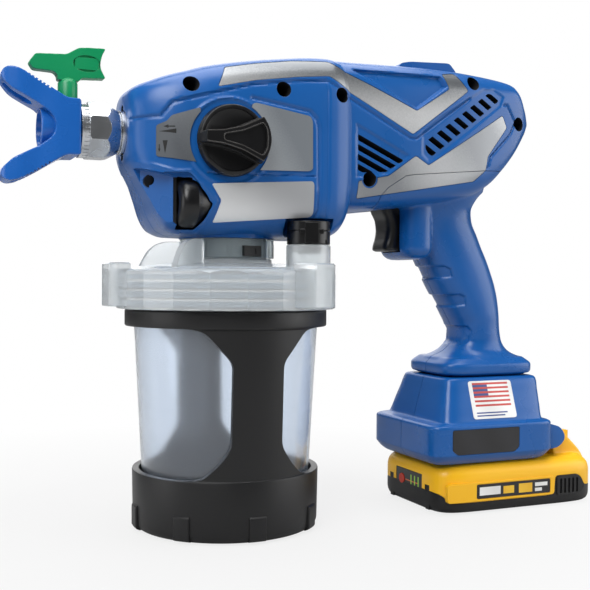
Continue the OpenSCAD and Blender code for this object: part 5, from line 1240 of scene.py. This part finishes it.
EAR_CORE = rounded([(LID_R + 1.5, -8.6), (LID_R + 4.8, -7), (LID_R + 4.8, 7), (LID_R + 1.5, 8.6)], 1)
EAR_INSET = [(LID_Z + 1.4, 0.4), (LID_Z + 1.9, 0), (LID_TOP + 2.2, 0), (LID_TOP + 3, 0.9)]
ear_levels = [(z, grown(EAR, -inset)) for z, inset in EAR_INSET]
for degrees in (60, 180, 300):
    combine(lid, standing("ear", degrees, ear_levels, lid_pp), "UNION")
    combine(lid, standing("ear_core", degrees, [(LID_Z, EAR_CORE), (LID_TOP - 0.5, EAR_CORE)], lid_pp))
combine(lid, upright("shoulder", [[LID_TOP - 0.1, LID_R - 5.6], [LID_TOP + 0.8, LID_R - 8],
    [LID_TOP + 2.6, LID_NECK + 14], [LID_TOP + 3, LID_NECK + 12]], lid_pp, 160), "UNION")
combine(lid, upright("neck", [[LID_TOP, LID_NECK + 3], [LID_TOP + 5.2, LID_NECK + 3],
    [LID_TOP + 5.6, LID_NECK + 2.4], [LID_TOP + 5.6, LID_NECK], [COLLAR_TOP, LID_NECK]],
    lid_pp, 120), "UNION")
FIN = [[LID_NECK + 5, LID_TOP - 1], [LID_NECK + 5, COLLAR_TOP - 0.6], [LID_NECK + 15, COLLAR_TOP - 0.6],
    [LID_NECK + 20.6, COLLAR_TOP - 1.8], [LID_NECK + 26, COLLAR_TOP - 5.6],
    [LID_NECK + 29.2, COLLAR_TOP - 10.6], [LID_R - 5.5, LID_TOP - 1]]
for degrees in (41.5, 138.5, 221.5):
    fin = side_prism("fin", rounded(FIN, 3, steps=6), -1.6, 1.6, lid_pp)
    fin.data.transform(Matrix.Rotation(math.radians(degrees), 4, "Z"))
    combine(lid, fin, "UNION")
port = (*PORT_AT, 0)
combine(lid, upright("port", [[LID_TOP - 6, 11.9], [LID_TOP + 12.4, 11.9], [LID_TOP + 12.9, 11.6],
    [LID_TOP + 13.2, 11]], lid_pp, 96, port), "UNION")
BORE_R = NECK_R + 2.3
GASKET_GAP, GASKET_T, EPS = 0.3, 1.4, 0.01
LID_UNDER = LINER_RIM_Z + RIM_T + GASKET_GAP + GASKET_T + EPS
combine(lid, upright("bore", [[LID_Z - 1, BORE_R], [LID_UNDER, BORE_R]], lid_root_painted_shade, 160))
for i in range(4):
    z = LID_Z + THREAD_PITCH * i
    crest = upright("crest", [[0, BORE_R + 0.4], [1.5, BORE_R + 0.4]], lid_thick, 160,
        (0, 0, max(z, LID_Z + 0.2)))
    combine(crest, upright("crest_bore", [[-3, BORE_R - 1.5], [5, BORE_R - 1.5]], steps=160, at=(0, 0, z)))
    combine(lid, crest, "UNION")
combine(lid, rod("inlet", (0, 0, LID_TOP - 10), (0, 0, 200), 11.5))
gap_ring = upright("gap", [[LID_TOP + 4, LID_NECK - 2.5], [LID_TOP + 44, LID_NECK - 2.5]], steps=72)
combine(gap_ring, upright("tube", [[LID_TOP, 13.5], [LID_TOP + 50, 13.5]], steps=72))
combine(lid, gap_ring)
combine(lid, upright("port_bore", [[LID_TOP - 4, 9.5], [LID_TOP + 40, 9.5]], steps=72, at=port))
combine(lid, upright("vent", [[LID_TOP - 12, 2.5], [LID_TOP, 2.5]], steps=32, at=port))
finished(lid, "sprayer", "cup_lid", crisp=14)

# %% [markdown]
# Spray guard and tip
# -------------------
# The guard is a thick moulding with two wings that keep fingers off the jet. It is built from its
# side outline and its plan, slotted, and then rounded on a voxel grid. The fine grooves across the
# wings, the throat and the bores come after that, so they stay crisp. The green tip stands in the
# guard, and its flag is turned half round to blow out a clog.

# %% Guard
GUARD_X, BARREL_X = -82.6, -87.4
THROAT = [[0, 0], [0, 14.2], [-7.2, 14.4], [-13.4, 18], [-20, 22.2], [-26, 25.6], [-31, 27.9], [-35, 28.6],
    [-37.6, 27.6], [-39, 25.2], [-38.2, 22], [-33.4, 17.2], [-26, 13.2], [-20.4, 10.4], [-18.6, 8.8],
    [-15.4, 6.6], [-13.2, 3.4], [-12.6, 0]]
half_guard = np.array(THROAT) + [GUARD_X, 0]
profile = np.concatenate([half_guard, (half_guard * [1, -1])[-2:0:-1]])
profile[:, 1] += NOZZLE_Z
guard = side_prism("guard", rounded(profile, 1.6), -16, 16, guard_nylon)
GUARD_PLAN = [(GUARD_X + 1, -13.5), (GUARD_X - 12, -13.5), (GUARD_X - 22, -11.2), (GUARD_X - 30, -11.8),
    (GUARD_X - 37, -9.6), (GUARD_X - 40, -5), (GUARD_X - 40, 5), (GUARD_X - 37, 9.6), (GUARD_X - 30, 11.8),
    (GUARD_X - 22, 11.2), (GUARD_X - 12, 13.5), (GUARD_X + 1, 13.5)]
guard_plan = rounded(GUARD_PLAN, 3)
combine(guard, ring_loft("plan", np.array([[[x, y, z] for x, y in guard_plan] for z in (150, 270)])),
    "INTERSECT")
WING_TURN = math.radians(33)
WING_SLOT = [(-7.5, 2.6), (-5.4, 4), (0, 4.6), (6, 5.2), (8.4, 4.2), (9.6, 0), (8.4, -4.2), (6, -5.2),
    (0, -4.6), (-5.4, -4), (-7.5, -2.6)]


def wing_frame(up_down):
    """The upper or the lower wing: its way back to the collar, the way off its face, its middle."""
    wing = np.array([math.cos(WING_TURN), 0, -up_down * math.sin(WING_TURN)])
    off = np.array([math.sin(WING_TURN), 0, up_down * math.cos(WING_TURN)])
    return wing, off, np.array([GUARD_X - 28.5, 0, NOZZLE_Z + up_down * 21.0])


for wing, off, middle in map(wing_frame, (1, -1)):
    combine(guard, ring_loft("slot", np.array([[middle + a * wing + [0, b, 0] + c * off for a, b in WING_SLOT]
        for c in (-14, 14)])))
softened(guard, 0.4, 2)
GROOVES, GROOVE_PITCH = 10, 2.1
for wing, off, middle in map(wing_frame, (1, -1)):
    for i in range(GROOVES):
        spot = middle + (-7.5 + GROOVE_PITCH * i) * wing + 4.75 * off
        bar = np.array([spot + a * wing + b * off for a, b in ((0, 0), (0.9, 0), (0.9, 3), (0, 3))])
        combine(guard, ring_loft("groove", np.array([[p + [0, y, 0] for p in bar] for y in (-20, 20)])))


def on_nozzle(name, back, profile, material=None, steps=72):
    """A solid turned about the nozzle's axis, from a distance behind GUARD_X towards the rear."""
    return turned(name, (GUARD_X + back, 0, NOZZLE_Z), (1, 0, 0), profile, steps, material)


combine(guard, on_nozzle("collar", -19.4, [[0, 10.2], [0.5, 10.9], [14, 10.9]], guard_nylon), "UNION")
combine(guard, on_nozzle("throat", -20.4, [[0, 9.6], [1.2, 9.2], [6, 8.2], [9, 6.6], [11, 6.2], [16, 6.2]],
    guard_nylon))
combine(guard, on_nozzle("seat", -14, [[0, 4.9], [30, 4.9]], steps=48))
combine(guard, turned("barrel_bore", (BARREL_X, 0, NOZZLE_Z - 10.2), (0, 0, 1), [[0, 4.3], [24.2, 4.3],
    [24.3, 5.6], [60, 5.6]], steps=48))
combine(guard, on_nozzle("boss", -0.6, [[0, 8], [3.4, 8]], guard_nylon), "UNION")
combine(guard, on_nozzle("boss_bore", -2, [[0, 4.9], [30, 4.9]], steps=48))
finished(guard, "guard", "tip_guard", crisp=32)

# %% Tip
FLAG_Z = NOZZLE_Z + 26.6
FLAG = [[-5.6, -1.8], [-5.6, 0.6], [-7.4, 2.4], [-17.8, 2.8], [-20.1, 6.2], [-16.7, 10.8], [-1, 11.8],
    [1.6, 13.4], [5.2, 15.6], [11, 16.2], [19.2, 16.4], [17.4, 13], [16.4, 9], [16.6, 5.6], [19.2, 0.7],
    [6.6, 0], [5.4, -1.8]]
flag_outline = np.array(FLAG) + [BARREL_X, FLAG_Z]
tip = side_prism("tip", rounded(flag_outline, 1.1), -3.1, 3.1, tip_acetal)
softened(tip, 0.3, 3)
thumb = np.array([BARREL_X + 9.4, FLAG_Z + 7.7])
turn = np.linspace(0, 2 * math.pi, 48, endpoint=False)
oval = thumb + np.stack([7.1 * np.cos(turn), 4.3 * np.sin(turn)], 1)
rib = rounded(thumb + np.array([[-6.1, -3.1], [6.1, -3.1], [6.1, 3.1], [-6.1, 3.1]]), 0.8)
for hand in (-1, 1):
    combine(tip, side_prism("oval", oval, *sorted((hand * 2.2, hand * 5))))
    combine(tip, side_prism("rib", rib, *sorted((hand * 2, hand * 2.9)), tip_acetal), "UNION")
combine(tip, upright("stem", [[0, 5.1], [9.4, 5.1], [11, 4.4], [12.4, 2.6], [12.8, 0.6]], tip_acetal, 72,
    (BARREL_X, 0, NOZZLE_Z + 14.1)), "UNION")
finished(tip, "tip", "spray_tip", crisp=40)

# %% [markdown]
# Battery
# -------
# The pack is a yellow case on a black tray. Both come from one loft with soft corners, parted along
# a line that dips under the label, so that they meet with no step. The rear of the case rises to the
# latch. The label sits in a raised frame, and a ribbed pad beside it gives the fingers a grip.

# %% Battery case and tray
PACK_MID = 173.0
# Each row is height, half length and half width
PACK = np.array([
    [0, 51.8, 32.6], [0.5, 53.4, 34.2], [2, 55, 35.8], [4, 55.7, 36.4], [6, 56, 36.5], [19, 56, 36.5],
    [22.5, 55.5, 36], [25.5, 53.8, 34.4], [27.2, 51.6, 32.2], [28, 48.6, 29.4]])
TRAY = [[90, -3], [90, 12.8], [116.6, 12.4], [120.6, 10.6], [124.6, 6.2], [192, 6.2], [196.6, 7.4],
    [197.4, 17.6], [213.6, 17.6], [217.6, 15], [219.8, 10.4], [240, 9.8], [240, -3]]


def pack_body(name, stations, material):
    """A loft with the pack's soft corners."""
    return stacked(name, stations, PACK_MID, 7.5, 0.8, material)


def corners(x0, z0, x1, z1):
    """The outline of a plain rectangle."""
    return [[x0, z0], [x1, z0], [x1, z1], [x0, z1]]


case = pack_body("case", PACK, yellow_abs)
HUMP = [[205, 20], [205, 44.6], [210, 43.4], [214, 40.6], [225.4, 29.6], [228.4, 25], [228.6, 18]]
combine(case, side_prism("hump", rounded(HUMP, 4), -24, 24, yellow_abs), "UNION")
softened(case, 0.7, 4)
combine(case, pack_body("hollow", PACK[3:-2] * [1, 0.955, 0.93] + [-4.5, 0, 0], yellow_abs))
combine(case, side_prism("tray_side", grown(rounded(TRAY, 2), 0.2), -60, 60))
combine(case, block("tower", (138.6, -18, 26), (221, 18, 41.4), yellow_abs), "UNION")
combine(case, block("rail", (138.6, -21.5, 33.2), (192.4, 21.5, 37), yellow_abs), "UNION")
for y in (-9, -3, 3, 9):
    combine(case, block("contact_slot", (137, y - 1.2, 29.5), (150.6, y + 1.2, 41.9), painted_shade_inside))
combine(case, block("latch_slot", (217.7, -13.3, 24.5), (240, 13.3, 60), painted_shade_inside))
for y in (-21, 21):
    combine(case, block("foot_slot", (100, y - 2.3, 0), (121.7, y + 2.3, 15.3), painted_shade_inside))
combine(case, block("gauge_slot", (108, -15.3, 7.4), (118.2, 15.3, 20.4), painted_shade_inside))
combine(case, side_prism("label_frame", rounded(corners(121.4, 6.9, 196.2, 17.7), 2.2), -37.0, -34,
    yellow_abs), "UNION")
combine(case, side_prism("label_bed", rounded(corners(140.9, 7.9, 193.3, 16.7), 1), -60, -36.6, yellow_abs))
finished(case, "battery", "battery_case", crisp=35)

tray = pack_body("tray", PACK[:-2], pack_black)
combine(tray, pack_body("tray_hollow", PACK[2:-1] * [1, 0.95, 0.925] + [0.6, 0, 0], pack_black))
combine(tray, side_prism("above_tray", rounded(TRAY, 2), -60, 60, pack_black), "INTERSECT")
PAD = rounded([[198.2, 5.8], [212.4, 5.4], [216.6, 7.2], [219, 10.4], [215.4, 16.2], [212.6, 17.3],
    [198.2, 17.3]], 1.6)
for hand in (-1, 1):
    combine(tray, side_prism("pad", PAD, *sorted((hand * 33.8, hand * 37.1)), pack_black), "UNION")
    for i in range(5):
        x = 200.2 + 3.0 * i
        valley = rounded(corners(x, 6.8, x + 1.5, 15.8), 0.6)
        combine(tray, side_prism("valley", valley, *sorted((hand * 36.2, hand * 39)), pack_black))
    combine(tray, block("foot", (117.4, hand * 21 - 2, 1), (121.4, hand * 21 + 2, 15), pack_black), "UNION")
finished(tray, "battery", "battery_tray", crisp=35)

# %% Labels and gauge
ink_yellow = film_with_painted_sheen("printed_yellow_ink", "#f2c12b", "#e8b21d")
ink_red = film_with_painted_sheen("printed_red_ink", "#c8443c", "#b83a34")
ink_blue = film_with_painted_sheen("printed_blue_ink", "#3c4f8f", "#34467f")
ink_green = film_with_painted_sheen("printed_green_ink", "#9ad23a", "#86bd2c")
ink_orange = film_with_painted_sheen("printed_orange_ink", "#e06a24", "#c85a1c")


def printed(piece, marks, y0, y1):
    """Adds plain printed marks, each a box in X and Z with its ink, to a label's face."""
    for box, ink_and_sheen in marks:
        combine(piece, side_prism("mark", corners(*box), y0, y1, ink_and_sheen), "UNION")


pack_label = side_prism("pack_label", rounded(corners(141.2, 8.2, 193, 16.4), 1), -36.9, -36, black_film)
PACK_MARKS = [((143, 10, 157.5, 14.8), white_film), ((159.5, 10, 167, 14.4), ink_yellow),
    ((170.4, 9.6, 180, 15), ink_yellow), ((182, 12.6, 191, 14.8), white_film),
    ((182, 9.6, 187, 11.6), white_film)]
printed(pack_label, PACK_MARKS, -36.93, -36.5)
finished(pack_label, "battery", "battery_labels")

gauge = block("gauge", (117.2, -15, 7.7), (118.19, 15, 20.1), black_film)
combine(gauge, turned("button_hole", (116, 8.5, 13.9), (1, 0, 0), [[0, 3.3], [4, 3.3]], steps=48))
for i in range(3):
    y = -2.4 - 4.2 * i
    combine(gauge, block("bar", (117.17, y - 0.6, 10.2), (117.6, y + 0.6, 17.8), ink_green), "UNION")
combine(gauge, block("bar_line", (117.17, -11.4, 13.6), (117.6, 4.2, 14.2), ink_orange), "UNION")
finished(gauge, "battery", "gauge_panel")

sheet_plan = rounded(corners(-15, -11.3, 15, 11.3), 1.8)
sticker = ring_loft("sticker", np.array([[[x, y, z] for x, z in sheet_plan] for y in (0.0, 0.3)]), white_film)
STRIPES = [((-12.4, 9.0 - 2.6 * i, 12.4, 10.2 - 2.6 * i), ink_red) for i in range(6)]
printed(sticker, STRIPES + [((-12.4, 1.2, -2.2, 10.2), ink_blue), ((-12.4, -8.2, 9, -7.4), ink_blue),
    ((-12.4, -9.9, 7, -9.1), ink_blue)], -0.03, 0.2)
low_y, high_y = through_stations(ADAPTER[:, 0], ADAPTER[:, 3], np.array([54.6, 75.2]))
lean = math.atan2(low_y - high_y, 75.2 - 54.6)
sticker.data.transform(Matrix.Translation(Vector((155.2, -(low_y + high_y) / 2 - 0.3, 64.9)) * MM)
    @ Matrix.Rotation(-lean, 4, "X"))
finished(sticker, "sprayer", "origin_sticker")
